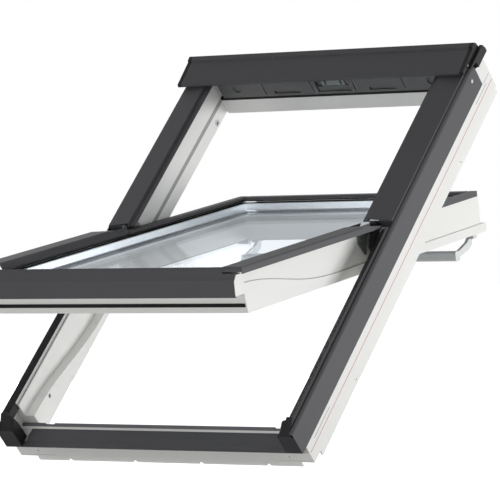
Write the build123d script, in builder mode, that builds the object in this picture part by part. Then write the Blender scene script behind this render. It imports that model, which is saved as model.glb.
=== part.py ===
from build123d import *
from math import cos, radians, sin
import os

# Centre-pivot roof window, drawn as it sits in a roof: the frame leans back at the
# roof pitch and the sash stands part open.  Every piece is placed by three places:
# across (to the right), up (along the slope from the sill's lower face) and out
# (away from the room, from the side skin's ledge).  The sash is drawn shut and
# turned open by its own plane.

# Whole window
FRAME_WIDTH = 780.0
FRAME_HEIGHT = 1180.0
ROOF_PITCH = 45.0
OPEN_ANGLE = 35.7
SEAT_DEPTH = 75.0
PIVOT_UP = 605.0
PIVOT_OUT = 20.5
CUT_OVERRUN = 20.0
GAUGE = 1.5
CLAD_JOINT = 0.5

# Frame members
FRAME_DEPTH = 101.0
HEAD_DROP = 7.5
JAMB_WIDTH = 50.0
SILL_WIDTH = 49.0
HEAD_WIDTH = 49.5
LIP_DROP = 20.0
LIP_INSET = 5.2
LIP_WALL = 4.0
LIP_CORNER = 11.0
LIP_JAMB_START = 40.0
LIP_NOTCH_HALF = 6.0
LIP_NOTCH_RISE = 7.0
LIP_NOTCH_PITCH = 176.0
LIP_NOTCH_COUNT = 4
REBATE_LAND = 25.0
REBATE_DEPTH_AT_SILL = 24.0
REBATE_DEPTH_MIDWAY = 58.5
REBATE_DEPTH_AT_PIVOT = 64.0
REBATE_BEND_START = 62.0
REBATE_BEND_END = 326.0
REBATE_PIVOT_GAP = 5.0
UPSTAND_WIDTH = 3.0
UPSTAND_RISE = 9.5
BEVEL = 31.0
STOP_WIDTH = 7.0
STOP_DEPTH = 50.0
STOP_PIVOT_GAP = 50.0
SEAL_GROOVE_WIDTH = 18.0
SEAL_GROOVE_CUT = 3.5
SEAL_PLAY = 0.3
SEAL_PROUD = 0.7
POCKET_CUT = 10.0
POCKET_PIVOT_GAP = 70.0
POCKET_FLOOR_DEPTH = 58.0
SILL_NOTCH_DEPTH = 56.0
SILL_NOTCH_WIDTH = 42.0
SILL_NOTCH_GAP = 2.5
SILL_GROOVE_WIDTH = 2.0
SILL_GROOVE_CUT = 3.0
SILL_GROOVE_LENGTH = 48.0
SILL_GROOVE_MARGIN = 3.0
SILL_GROOVE_RISE = 3.0
SILL_HOLE_RADIUS = 2.5
SILL_HOLE_DEPTH = 16.0
SILL_HOLE_INSET = 6.0
SILL_HOLE_RISE = 17.0
FIXING_RADIUS = 2.5
FIXING_DROP = 10.0
FIXING_LOW = 253.0
FIXING_PITCH = 682.0

# Side skins, trims and covers
SKIN_PROUD = 2.8
SKIN_DEPTH = 49.0
SKIN_OVERHANG = 21.3
SKIN_TOP_GAP = 49.0
SKIN_ROUND = 12.0
SKIN_ROUND_RISE = 5.0
SKIN_ROUND_ANGLE = 60.0
TRIM_INSET = 5.0
TRIM_OUTER_RISE = 25.4
TRIM_INNER_RISE = 19.5
TRIM_WIDTH = 15.0
TRIM_START = 16.0
TRIM_PIVOT_GAP = 19.0
COVER_OUTER_RISE = 20.0
COVER_INNER_RISE = 27.0
COVER_FACE = 59.0
COVER_RETURN = 2.0
COVER_LIP = 14.0
COVER_LIP_RISE = 18.5
COVER_PIVOT_GAP = 8.5
COVER_TOP_GAP = 62.0
CORNER_FRONT = 1.0
CORNER_NOSE = 3.0
CORNER_SLOPE = 30.0
CORNER_LAP = 1.0
CORNER_FOOT_RISE = 9.5
CORNER_WALL = 2.0

# Sill cladding and gasket
SILL_APRON_RISE = 7.8
SILL_STEP_RISE = 5.0
SILL_RIDGE_UP = 13.0
SILL_RIDGE_RISE = 8.5
SILL_LEDGE_WIDTH = 14.0
SILL_TOP_RISE = 7.0
SILL_LEDGE_RISE = 6.0
SILL_GASKET_WIDTH = 6.0
SILL_GASKET_LEAN = 2.0
SILL_GASKET_RISE = 3.5
SILL_GASKET_TIP = 1.5
SILL_GASKET_NOTCH = 26.0
SILL_GASKET_NOTCH_INSET = 21.0
SILL_GASKET_NOTCH_RISE = 1.2

# Hood over the head
HOOD_LIP_GAP = 103.0
HOOD_LIP_OUT = 31.0
HOOD_LIP_RISE = 4.5
HOOD_LIP_RETURN = 6.0
HOOD_ROLL = 3.0
HOOD_STEP_GAP = 28.0
HOOD_STEP_OUT = 44.3
HOOD_STEP_RISE = 4.0
HOOD_STEP_RUN = 2.0
HOOD_CREST_GAP = 13.0
HOOD_CREST_OUT = 49.5
HOOD_BEVEL = 5.0
HOOD_SHOULDER_OUT = 12.0
HOOD_BACK_DEPTH = 45.0
HOOD_END_MARGIN = 4.4
CAP_WIDTH = 10.4
CAP_FOOT_OUT = 24.0
CAP_FLANGE = 8.0
CAP_FLANGE_START_GAP = 78.0
CAP_FLANGE_END = 8.0
CAP_FLANGE_OUT = 28.5
CAP_FLANGE_INNER = 20.0
CAP_FLANGE_BEND = 14.0
CAP_FLANGE_LOW = 4.0
CAP_SCREW_RADIUS = 3.2
CAP_SCREW_HEAD = 1.6
CAP_SCREW_GAP = 75.0
CAP_SCREW_OUT = 33.0
PLUG_RADIUS = 4.5
PLUG_HEAD = 1.4
PLUG_GAP = 82.0
PLUG_DEPTH = 9.0

# Ventilation housing, strip and gasket at the head
HOUSING_END_GAP = 11.0
HOUSING_REACH = 10.5
HOUSING_DEPTH = 43.0
HOUSING_RISE = 22.0
HOUSING_BEVEL = 4.0
HOUSING_BACK_RISE = 15.0
HOUSING_WALL = 5.0
HOUSING_POCKET_HALF = 46.0
HOUSING_POCKET_CUT = 8.0
HOUSING_POCKET_RISE = 10.0
HOUSING_SEAM_WIDTH = 2.5
HOUSING_SEAM_CUT = 2.0
HOUSING_SEAM_NEAR = 57.0
HOUSING_SEAM_FAR = 193.0
HOUSING_NOTCH_START = 97.0
HOUSING_NOTCH_LENGTH = 72.0
HOUSING_NOTCH_RISE = 10.0
HOUSING_DIMPLE_RADIUS = 11.0
HOUSING_DIMPLE_CUT = 3.0
HOUSING_DIMPLE_RISE = 21.0
HOUSING_DIMPLE_INSET = 51.0
STRIKER_PLATE = 2.0
STRIKER_HALF = 32.0
STRIKER_EAR = 4.5
STRIKER_EAR_HALF = 20.0
STRIKER_EAR_WALL = 2.5
STRIKER_EAR_LOW = 24.0
STRIP_REACH = 8.5
STRIP_BACK = 5.2
STRIP_DROP = 7.7
STRIP_GAP = 0.5
HEAD_GASKET_REACH = 8.5
HEAD_GASKET_DROP = 17.0
HEAD_GASKET_TIP = 2.0

# Sash members
SASH_PLAY = 10.0
SASH_TOP_PLAY = 15.5
SASH_ROOM_DEPTH = 83.5
STILE_WIDTH = 46.0
STILE_PAD = 3.4
STILE_PAD_STEP = 1.2
STILE_PAD_PIVOT_GAP = 33.0
SLINE_START_DEPTH = 17.0
SLINE_MID_DEPTH = 55.0
SLINE_END_DEPTH = 61.0
SASH_OUT = 2.0
RAIL_OUT = 8.0
GLASS_BED_DEPTH = 22.5
RAIL_HEEL_SET = 8.0
RAIL_HEEL_UP = 62.0
RAIL_HEEL_DROP = 3.5
RAIL_WIDTH = 63.0
NOSE_CLAD_GAP = 3.3
NOSE_DEPTH = 36.5
NOSE_BEVEL_RUN = 10.0
NOSE_BEVEL_DEPTH = 6.0
NOSE_END_UP = 42.0
NOSE_MAIN_GAP = 3.0
TOP_RAIL_WIDTH = 65.0
FLANGE_WIDTH = 7.0
FLANGE_REACH = 12.5
FLANGE_THICKNESS = 20.0
FLANGE_PIVOT_GAP = 35.0

# Insulating glass unit
GLASS_INSET = 12.0
GLASS_FOOT_INSET = 14.0
GLASS_TOP_INSET = 19.0
PANE = 4.0
CAVITY = 16.0
GLASS_OUT = 6.0
SEAL_WIDTH = 14.0
SPACER_WIDTH = 9.0
BEAD_INSET = 2.0
BEAD_WIDTH = 10.0
BEAD_HEIGHT = 2.0
BED_INSET = 20.0
BED_WIDTH = 12.0

# Sash cladding
CLAD_BOTTOM_UP = 2.7
CLAD_BOTTOM_DROP = 2.3
CLAD_RETURN = 6.0
CLAD_STEP_DEPTH = 2.0
CLAD_STEP_RUN = 3.3
CLAD_STEP_OUT = 4.0
CLAD_BROW_RUN = 5.0
CLAD_BROW_OUT = 17.0
CLAD_GAP_OUT = 12.0
CLAD_TOP_OUT = 24.9
CLAD_CREST_RUN = 5.0
CLAD_PANE_LAP = 12.0
CLAD_GLASS_LAP = 8.0
CLAD_FOOT = 4.0
CLAD_BOTTOM_LAP = 9.5
SIDE_CLAD_MARGIN = 21.3
SIDE_CLAD_WIDTH = 49.7
SIDE_CLAD_OUT = 26.4
SIDE_CLAD_INNER_BEVEL = 2.0
SIDE_CLAD_LOW_OUT = 11.0
SIDE_CLAD_BEVEL = 2.5
SIDE_CLAD_START = 9.0
SIDE_CLAD_LIP_OUT = 15.0
SIDE_CLAD_PIVOT_GAP = 17.0
SIDE_CLAD_TAPER = 72.0
SIDE_CLAD_TAPER_DROP = 9.5
SIDE_CLAD_TIP = 16.0
SIDE_CLAD_TIP_GAP = 1.0
UPPER_CLAD_LAP = 1.5
UPPER_CLAD_WIDTH = 20.0
UPPER_CLAD_OUT = 15.5
UPPER_CLAD_LOW_OUT = 2.5
UPPER_CLAD_GLASS_LAP = 4.0
TOP_CLAD_SETBACK = 6.5
TOP_CLAD_WIDTH = 20.0

# Sash gasket along the bottom rail's heel
SASH_GASKET_DEPTH = 62.0
SASH_GASKET_WIDTH = 8.0
SASH_GASKET_PROUD = 2.0
SASH_GASKET_LAP = 1.0

# Pivot hinges
PIN_RADIUS = 3.5
PIN_PLAY = 0.05
PIN_EYE = 6.0
HINGE_PLATE = 3.0
HINGE_GAP = 0.8
HINGE_LOW_GAP = 64.0
HINGE_LOW_OUT = 4.0
HINGE_TOE_GAP = 39.0
HINGE_TOE_DEPTH = 44.0
HINGE_HEEL_GAP = 15.0
FRAME_HINGE_LOW_GAP = 49.0
FRAME_HINGE_HIGH_GAP = 35.0
FRAME_HINGE_DEPTH = 52.0
FRAME_HINGE_TOP_DEPTH = 8.0
HINGE_SCREW_RADIUS = 3.0
HINGE_SCREW_GAP = 53.0
HINGE_SCREW_DEPTH = 10.0
HINGE_SCREW_PITCH = 20.0

# Control bar, flap, latch and barrel bolt
BAR_PIVOT_RISE = 4.0
BAR_PIVOT_DROP = 9.5
BAR_PIN_RADIUS = 3.0
BAR_EYE = 6.5
BAR_INSET = 30.0
BAR_ARM_WIDTH = 8.0
BAR_DROP = 25.0
BAR_THICKNESS = 23.0
BAR_WIDTH = 22.0
BAR_HIGH_GAP = 63.0
BAR_ROUND = 6.0
BAR_BEND_GAP = 19.0
BAR_BEND_DROP = 6.0
BAR_SHOULDER_GAP = 2.0
BAR_SHOULDER_RISE = 4.0
BAR_INNER_GAP = 24.0
BAR_INNER_RISE = 12.0
BRACKET_WIDTH = 10.0
BRACKET_BASE = 12.0
BRACKET_GAP = 0.5
FLAP_INSET = 17.0
FLAP_LOW_GAP = 57.0
FLAP_HIGH_GAP = 8.0
FLAP_SHEET = 3.0
FLAP_GAP = 0.6
FLAP_EAR_REACH = 6.0
LATCH_CASE_HALF = 31.0
LATCH_CASE_WIDTH = 14.0
LATCH_CASE_DEPTH = 17.0
LATCH_HALF = 15.0
LATCH_TOP_DEPTH = 2.0
LATCH_THICKNESS = 8.0
LATCH_TIP = 9.0
LATCH_TAIL = 6.0
LATCH_PLAY = 0.4
BOLT_DROP = 39.0
BOLT_STANDOFF = 6.5
BOLT_RADIUS = 3.5
BOLT_PLAY = 0.05
BOLT_GAP = 6.0
BOLT_LENGTH = 40.0
BOLT_TRAVEL = 12.0
BOLT_KNOB_RADIUS = 2.0
BOLT_KNOB_HEIGHT = 7.0
BOLT_CASE_INSET = 4.0
BOLT_CASE_LENGTH = 30.0
BOLT_CASE_HALF = 7.0
BOLT_SLOT_PLAY = 1.0
BUSH_RADIUS = 5.5
BUSH_BORE_PLAY = 0.8
BUSH_DEPTH = 14.0
BUSH_RIM_RADIUS = 8.5
BUSH_RIM = 1.2
CLEANING_ANGLE = 160.0

# Places that several pieces share: across the frame
HALF = FRAME_WIDTH / 2
JAMB_IN = HALF - JAMB_WIDTH
STOP_FACE = JAMB_IN - STOP_WIDTH
LIP_SIDE = HALF - LIP_INSET
REBATE_FACE = HALF - REBATE_LAND
POCKET_FACE = JAMB_IN + POCKET_CUT
NOTCH_SIDE = JAMB_IN + SILL_NOTCH_WIDTH
SKIN_SIDE = HALF + SKIN_PROUD
TRIM_SIDE = HALF - TRIM_INSET
TRIM_IN = TRIM_SIDE - TRIM_WIDTH
HOOD_HALF = HALF - HOOD_END_MARGIN
HOUSING_HALF = STOP_FACE - HOUSING_END_GAP

# Across the sash
STILE_HALF_SPAN = JAMB_IN - SASH_PLAY
STILE_IN = STILE_HALF_SPAN - STILE_WIDTH
STILE_SIDE = STILE_HALF_SPAN + STILE_PAD
GLASS_HALF_SPAN = STILE_HALF_SPAN - GLASS_INSET
CLAD_BOTTOM_HALF = JAMB_IN + CLAD_BOTTOM_LAP
SIDE_CLAD_OUTER = HALF - SIDE_CLAD_MARGIN
SIDE_CLAD_INNER = SIDE_CLAD_OUTER - SIDE_CLAD_WIDTH
UPPER_CLAD_OUTER = STILE_HALF_SPAN + UPPER_CLAD_LAP
BAR_HALF = STILE_HALF_SPAN - BAR_INSET
FLAP_HALF = BAR_HALF - FLAP_INSET
BOLT_REACH = JAMB_IN - BOLT_GAP
BOLT_CASE_END = STILE_HALF_SPAN - BOLT_CASE_INSET
BOLT_CASE_START = BOLT_CASE_END - BOLT_CASE_LENGTH

# Up the slope
SILL_TOP_UP = SILL_WIDTH - SILL_LEDGE_WIDTH
RAIL_FOOT_UP = RAIL_HEEL_UP + RAIL_HEEL_SET
GLASS_LOW = RAIL_HEEL_UP + GLASS_FOOT_INSET
RAIL_TOP_UP = RAIL_HEEL_UP + RAIL_WIDTH
CLAD_INNER_UP = GLASS_LOW + CLAD_PANE_LAP
NOSE_UP = CLAD_BOTTOM_UP + NOSE_CLAD_GAP
NOSE_BEVEL_UP = NOSE_UP + NOSE_BEVEL_RUN
CLAD_STEP_UP = CLAD_BOTTOM_UP + CLAD_STEP_RUN
CLAD_BROW_UP = CLAD_STEP_UP + CLAD_BROW_RUN
CLAD_CREST_UP = CLAD_BROW_UP + CLAD_CREST_RUN
BAR_LOW_GAP = BAR_HIGH_GAP + BAR_WIDTH
HEAD_IN = FRAME_HEIGHT - HEAD_WIDTH
SILL_NOTCH_UP = SILL_WIDTH + SILL_NOTCH_GAP
REBATE_TOP = PIVOT_UP - REBATE_PIVOT_GAP
STOP_START = PIVOT_UP + STOP_PIVOT_GAP
POCKET_START = PIVOT_UP - POCKET_PIVOT_GAP
SKIN_TOP = FRAME_HEIGHT - SKIN_TOP_GAP
TRIM_END = PIVOT_UP - TRIM_PIVOT_GAP
COVER_START = PIVOT_UP + COVER_PIVOT_GAP
COVER_END = FRAME_HEIGHT - COVER_TOP_GAP
HOOD_LIP_UP = FRAME_HEIGHT - HOOD_LIP_GAP
HOOD_STEP_UP = FRAME_HEIGHT - HOOD_STEP_GAP
HOOD_CREST_UP = FRAME_HEIGHT - HOOD_CREST_GAP
STILE_TOP = HEAD_IN - SASH_TOP_PLAY
STILE_PAD_END = PIVOT_UP - STILE_PAD_PIVOT_GAP
FLANGE_START = PIVOT_UP + FLANGE_PIVOT_GAP
GLASS_HIGH = STILE_TOP - GLASS_TOP_INSET
SIDE_CLAD_END = PIVOT_UP - SIDE_CLAD_PIVOT_GAP
UPPER_CLAD_START = SIDE_CLAD_END + CLAD_JOINT
TOP_CLAD_UP = STILE_TOP - TOP_CLAD_SETBACK
BAR_PIVOT_UP = STILE_TOP + BAR_PIVOT_RISE
BOLT_UP = STILE_TOP - BOLT_DROP

# Out from the room, and into it
HEAD_DEPTH = FRAME_DEPTH + HEAD_DROP
LIP_DEPTH = FRAME_DEPTH + LIP_DROP
FIXING_DEPTH = FRAME_DEPTH + FIXING_DROP
SILL_HOLE_LEVEL = FRAME_DEPTH - SILL_HOLE_RISE
BEVEL_DEPTH = FRAME_DEPTH - BEVEL
SEAL_GROOVE_DEPTH = STOP_DEPTH + SEAL_GROOVE_WIDTH
SILL_LEDGE_DEPTH = SILL_NOTCH_DEPTH - SILL_LEDGE_RISE
SILL_TOP_DEPTH = SILL_NOTCH_DEPTH - SILL_TOP_RISE
SILL_RIDGE_DEPTH = SILL_NOTCH_DEPTH - SILL_RIDGE_RISE
SILL_STEP_DEPTH = SILL_NOTCH_DEPTH - SILL_STEP_RISE
SILL_APRON_DEPTH = SILL_NOTCH_DEPTH - SILL_APRON_RISE
CORNER_FOOT_DEPTH = SILL_NOTCH_DEPTH - CORNER_FOOT_RISE
STRIP_DEPTH = HOUSING_DEPTH + STRIP_DROP
HEAD_GASKET_BOTTOM = HOUSING_DEPTH + HEAD_GASKET_DROP
HOUSING_BACK_DEPTH = HOUSING_DEPTH - HOUSING_BACK_RISE
HOUSING_DIMPLE_DEPTH = HOUSING_DEPTH - HOUSING_DIMPLE_RISE
FLANGE_DEPTH = SASH_ROOM_DEPTH - FLANGE_THICKNESS
RAIL_HEEL_DEPTH = NOSE_DEPTH + RAIL_HEEL_DROP
CLAD_BOTTOM_DEPTH = NOSE_DEPTH + CLAD_BOTTOM_DROP
BAR_PIVOT_DEPTH = SASH_ROOM_DEPTH + BAR_PIVOT_DROP
BAR_NEAR_DEPTH = BAR_PIVOT_DEPTH + BAR_DROP
BAR_FAR_DEPTH = BAR_NEAR_DEPTH + BAR_THICKNESS
BAR_BEND_DEPTH = BAR_NEAR_DEPTH + BAR_BEND_DROP
BAR_SHOULDER_DEPTH = BAR_NEAR_DEPTH - BAR_SHOULDER_RISE
BAR_INNER_DEPTH = BAR_NEAR_DEPTH - BAR_INNER_RISE
BOLT_DEPTH = SASH_ROOM_DEPTH + BOLT_STANDOFF
INNER_PANE_OUT = GLASS_OUT - PANE - CAVITY
BEAD_OUT = GLASS_OUT + BEAD_HEIGHT
BOTH_SIDES = (("left", -1), ("right", 1))


def leaning_plane(origin, lean):
    """Plane of a window face: x across, y up the slope, z out of the room."""
    return Plane(origin=origin, x_dir=(1, 0, 0), z_dir=(0, -sin(radians(lean)), cos(radians(lean))))


def section(base, across):
    """Plane that cuts a base across its width: x runs up, y runs out."""
    return Plane(base.from_local_coords((across, 0, 0)), x_dir=base.y_dir, z_dir=base.x_dir)


def station(base, up):
    """Plane that cuts a base across its slope: x runs across, y runs out."""
    return Plane(base.from_local_coords((0, up, 0)), x_dir=base.x_dir, z_dir=-base.y_dir)


FRAME = leaning_plane((0, 0, 0), ROOF_PITCH).offset(SEAT_DEPTH)
PIVOT = leaning_plane(FRAME.from_local_coords((0, PIVOT_UP, PIVOT_OUT)), ROOF_PITCH - OPEN_ANGLE)
SASH = leaning_plane(PIVOT.from_local_coords((0, -PIVOT_UP, -PIVOT_OUT)), ROOF_PITCH - OPEN_ANGLE)


def turned_place(up, out, angle):
    """Where a place of the shut sash comes to when the sash has turned by an angle."""
    along = up - PIVOT_UP
    away = out - PIVOT_OUT
    turn = radians(angle)
    return (
        PIVOT_UP + along * cos(turn) + away * sin(turn),
        PIVOT_OUT - along * sin(turn) + away * cos(turn),
    )


def sheet(path, gauge=GAUGE):
    """Outline of a bent sheet: its outer path, and the same path set to the left by the gauge."""
    points = [Vector(*point) for point in path]
    runs = [(b - a).normalized() for a, b in zip(points, points[1:])]
    sides = [Vector(-run.Y, run.X) for run in runs]
    back = []
    for point, before, after in zip(points, sides[:1] + sides, sides + sides[-1:]):
        back.append(point + (before + after) * (gauge / (1 + before.dot(after))))
    return [(point.X, point.Y) for point in points + back[::-1]]


def mirrored(outline, side):
    """An outline of the right side, carried to the given side."""
    return [(side * across, out) for across, out in outline]


def box_outline(low_a, high_a, low_b, high_b):
    """The four corners of an upright rectangle."""
    return [(low_a, low_b), (high_a, low_b), (high_a, high_b), (low_a, high_b)]


def add_prism(plane, outline, length, mode=Mode.ADD):
    """Adds a prism that stands on a plane to the piece in hand."""
    with BuildSketch(plane) as profile:
        with BuildLine():
            Polyline(*outline, close=True)
        make_face()
    extrude(profile.sketch, amount=length, mode=mode)


def add_rail(base, outline, start, end, mode=Mode.ADD):
    """Adds a prism that runs across the window to the piece in hand."""
    add_prism(section(base, start), outline, end - start, mode)


def cut_rail(base, outline, start, end):
    """Takes a prism that runs across the window out of the piece in hand."""
    add_rail(base, outline, start, end, Mode.SUBTRACT)


def add_post(base, outline, start, end, mode=Mode.ADD):
    """Adds a prism that runs up the slope to the piece in hand."""
    add_prism(station(base, end), outline, end - start, mode)


def rail(base, outline, start, end):
    """A member that runs across the window between two places."""
    with BuildPart() as piece:
        add_rail(base, outline, start, end)
    return piece


def post(base, outline, start, end):
    """A member that runs up the slope between two places."""
    with BuildPart() as piece:
        add_post(base, outline, start, end)
    return piece


def plate(base, outline, start, end):
    """A flat piece that lies in the window's face between two depths."""
    with BuildPart() as piece:
        add_prism(base.offset(start), outline, end - start)
    return piece


def disc(base, up, out, start, end, radius, mode=Mode.ADD):
    """Adds a round boss that runs across the window to the piece in hand."""
    with BuildSketch(section(base, start)) as profile:
        with Locations((up, out)):
            Circle(radius)
    extrude(profile.sketch, amount=end - start, mode=mode)


def drill(base, up, out, start, end, radius):
    """Takes a round hole that runs across the window out of the piece in hand."""
    disc(base, up, out, start, end, radius, Mode.SUBTRACT)


def save(piece, name):
    """Labels a finished piece and writes it."""
    piece.part.label = name
    export_step(piece.part, f"parts/{name}.step")


os.makedirs("parts", exist_ok=True)

# Frame sill, with a ledge behind its cladding and a notched lip on the room side
lip_top = LIP_INSET + LIP_WALL
sill_outline = [
    (0, -FRAME_DEPTH),
    (LIP_INSET, -FRAME_DEPTH),
    (LIP_INSET, -LIP_DEPTH),
    (lip_top, -LIP_DEPTH),
    (lip_top, -FRAME_DEPTH),
    (SILL_WIDTH, -FRAME_DEPTH),
    (SILL_WIDTH, -SILL_LEDGE_DEPTH),
    (SILL_TOP_UP + GAUGE, -SILL_LEDGE_DEPTH),
    (SILL_TOP_UP + GAUGE, -SILL_NOTCH_DEPTH),
    (0, -SILL_NOTCH_DEPTH),
]
sill_end = NOTCH_SIDE - CLAD_JOINT
groove_low = SILL_GROOVE_RISE - FRAME_DEPTH
sill_groove = box_outline(-CUT_OVERRUN, SILL_GROOVE_CUT, groove_low, groove_low + SILL_GROOVE_WIDTH)
notch_first = -LIP_NOTCH_PITCH * (LIP_NOTCH_COUNT - 1) / 2
with BuildPart() as frame_sill:
    add_rail(FRAME, sill_outline, -JAMB_IN, JAMB_IN)
    ledge = box_outline(SILL_TOP_UP + GAUGE, SILL_WIDTH, -SILL_NOTCH_DEPTH, -SILL_LEDGE_DEPTH)
    add_rail(FRAME, ledge, -sill_end, sill_end)
    for place in range(LIP_NOTCH_COUNT):
        notch_middle = notch_first + place * LIP_NOTCH_PITCH
        lip_notch = [
            (notch_middle - LIP_NOTCH_HALF, -LIP_DEPTH),
            (notch_middle + LIP_NOTCH_HALF, -LIP_DEPTH),
            (notch_middle, LIP_NOTCH_RISE - LIP_DEPTH),
        ]
        add_post(FRAME, lip_notch, LIP_INSET, lip_top, Mode.SUBTRACT)
    for _, side in BOTH_SIDES:
        cut_rail(FRAME, sill_groove, side * JAMB_IN, side * (JAMB_IN - SILL_GROOVE_LENGTH))
    with BuildSketch(station(FRAME, SILL_HOLE_DEPTH)) as hole_profile:
        for _, side in BOTH_SIDES:
            with Locations((side * (JAMB_IN - SILL_HOLE_INSET), -SILL_HOLE_LEVEL)):
                Circle(SILL_HOLE_RADIUS)
    extrude(hole_profile.sketch, amount=SILL_HOLE_DEPTH, mode=Mode.SUBTRACT)
save(frame_sill, "frame_sill")

# Frame head, with the same lip on the room side
head_lip = FRAME_HEIGHT - LIP_INSET
head_outline = [
    (HEAD_IN, -HEAD_DEPTH),
    (head_lip - LIP_WALL, -HEAD_DEPTH),
    (head_lip - LIP_WALL, -LIP_DEPTH),
    (head_lip, -LIP_DEPTH),
    (head_lip, -FRAME_DEPTH),
    (FRAME_HEIGHT, -FRAME_DEPTH),
    (FRAME_HEIGHT, -GAUGE),
    (HEAD_IN, -GAUGE),
]
frame_head = rail(FRAME, head_outline, -JAMB_IN, JAMB_IN)
save(frame_head, "frame_head")

# Jambs: a curved rebate below the pivot lets the sash close from outside,
# and a stop above it meets the sash from the room side
jamb_outline = [
    (JAMB_IN, -FRAME_DEPTH),
    (LIP_SIDE - LIP_WALL, -FRAME_DEPTH),
    (LIP_SIDE - LIP_WALL, -LIP_DEPTH),
    (LIP_SIDE, -LIP_DEPTH),
    (LIP_SIDE, -FRAME_DEPTH),
    (HALF, -FRAME_DEPTH),
    (HALF, -GAUGE),
    (JAMB_IN, -GAUGE),
]
bevel_side = JAMB_IN + BEVEL
bevel_outline = [
    (JAMB_IN - CUT_OVERRUN, CUT_OVERRUN - BEVEL_DEPTH),
    (bevel_side, -FRAME_DEPTH),
    (bevel_side, -LIP_DEPTH),
    (JAMB_IN - CUT_OVERRUN, -LIP_DEPTH),
]
rebate_start = (SILL_NOTCH_UP, -REBATE_DEPTH_AT_SILL)
rebate_end = (REBATE_TOP, -REBATE_DEPTH_AT_PIVOT)
bush_places = [(BOLT_UP, -BOLT_DEPTH), turned_place(BOLT_UP, -BOLT_DEPTH, CLEANING_ANGLE)]
for name, side in BOTH_SIDES:
    inner_cut = side * (JAMB_IN - CUT_OVERRUN)
    with BuildPart() as frame_jamb:
        add_post(FRAME, mirrored(jamb_outline, side), 0, FRAME_HEIGHT)
        with BuildSketch(section(FRAME, side * REBATE_FACE)):
            with BuildLine():
                Line(rebate_start, (REBATE_BEND_START, -REBATE_DEPTH_AT_SILL))
                Spline(
                    (REBATE_BEND_START, -REBATE_DEPTH_AT_SILL),
                    (REBATE_BEND_END, -REBATE_DEPTH_MIDWAY),
                    rebate_end,
                    tangents=((1, 0), (1, 0)),
                )
                Polyline(
                    rebate_end,
                    (REBATE_TOP, CUT_OVERRUN),
                    (-CUT_OVERRUN, CUT_OVERRUN),
                    (-CUT_OVERRUN, -REBATE_DEPTH_AT_SILL),
                    rebate_start,
                )
            make_face()
        extrude(amount=inner_cut - side * REBATE_FACE, mode=Mode.SUBTRACT)
        notch = box_outline(-CUT_OVERRUN, SILL_NOTCH_UP, -SILL_NOTCH_DEPTH, CUT_OVERRUN)
        cut_rail(FRAME, notch, side * NOTCH_SIDE, inner_cut)
        pocket = box_outline(POCKET_START, STOP_START, -POCKET_FLOOR_DEPTH, CUT_OVERRUN)
        cut_rail(FRAME, pocket, side * POCKET_FACE, inner_cut)
        lip_gap = box_outline(-CUT_OVERRUN, LIP_JAMB_START, -LIP_DEPTH - CUT_OVERRUN, -FRAME_DEPTH)
        cut_rail(FRAME, lip_gap, inner_cut, side * HALF)
        lip_corner = box_outline(LIP_INSET, lip_top, -LIP_DEPTH, -FRAME_DEPTH)
        add_rail(FRAME, lip_corner, side * JAMB_IN, side * (JAMB_IN + LIP_CORNER))
        add_post(FRAME, mirrored(bevel_outline, side), SILL_WIDTH, POCKET_START, Mode.SUBTRACT)
        upstand = box_outline(SILL_NOTCH_UP, REBATE_TOP, -GAUGE, UPSTAND_RISE)
        add_rail(FRAME, upstand, side * REBATE_FACE, side * (REBATE_FACE + UPSTAND_WIDTH))
        stop = box_outline(STOP_START, HEAD_IN, -STOP_DEPTH, -GAUGE)
        add_rail(FRAME, stop, side * JAMB_IN, side * STOP_FACE)
        seal_groove = box_outline(STOP_START, HEAD_IN, -SEAL_GROOVE_DEPTH, -STOP_DEPTH)
        cut_rail(FRAME, seal_groove, side * (JAMB_IN + SEAL_GROOVE_CUT), inner_cut)
        cut_rail(FRAME, sill_groove, side * JAMB_IN, side * (HALF - SILL_GROOVE_MARGIN))
        if side < 0:
            for up, out in bush_places:
                drill(FRAME, up, out, -JAMB_IN, -JAMB_IN - BUSH_DEPTH, BUSH_RADIUS)
        for step in (0, FIXING_PITCH):
            hole_end = side * (LIP_SIDE - LIP_WALL)
            drill(FRAME, FIXING_LOW + step, -FIXING_DEPTH, side * LIP_SIDE, hole_end, FIXING_RADIUS)
    save(frame_jamb, f"frame_jamb_{name}")

# Seals in the grooves under the jambs' stops
with BuildPart() as jamb_seals:
    seal = box_outline(STOP_START, HEAD_IN - SEAL_PLAY, SEAL_PLAY - SEAL_GROOVE_DEPTH, -STOP_DEPTH - SEAL_PLAY)
    for _, side in BOTH_SIDES:
        add_rail(FRAME, seal, side * (JAMB_IN - SEAL_PROUD), side * (JAMB_IN + SEAL_GROOVE_CUT))
save(jamb_seals, "jamb_seals")

# Side skins: a bent sheet with a rounded shoulder over the outside of each jamb, and a ledge
shoulder_middle = SKIN_SIDE - SKIN_ROUND


def shoulder_place(side, radius, angle):
    """A place on the skin's rounded shoulder."""
    turn = radians(angle)
    return (side * (shoulder_middle + radius * cos(turn)), SKIN_ROUND_RISE + radius * sin(turn))


def shoulder_arc(side, radius):
    """The three places of one of the shoulder's arcs, from the wall up."""
    return [shoulder_place(side, radius, angle) for angle in (0, SKIN_ROUND_ANGLE / 2, SKIN_ROUND_ANGLE)]


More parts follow.
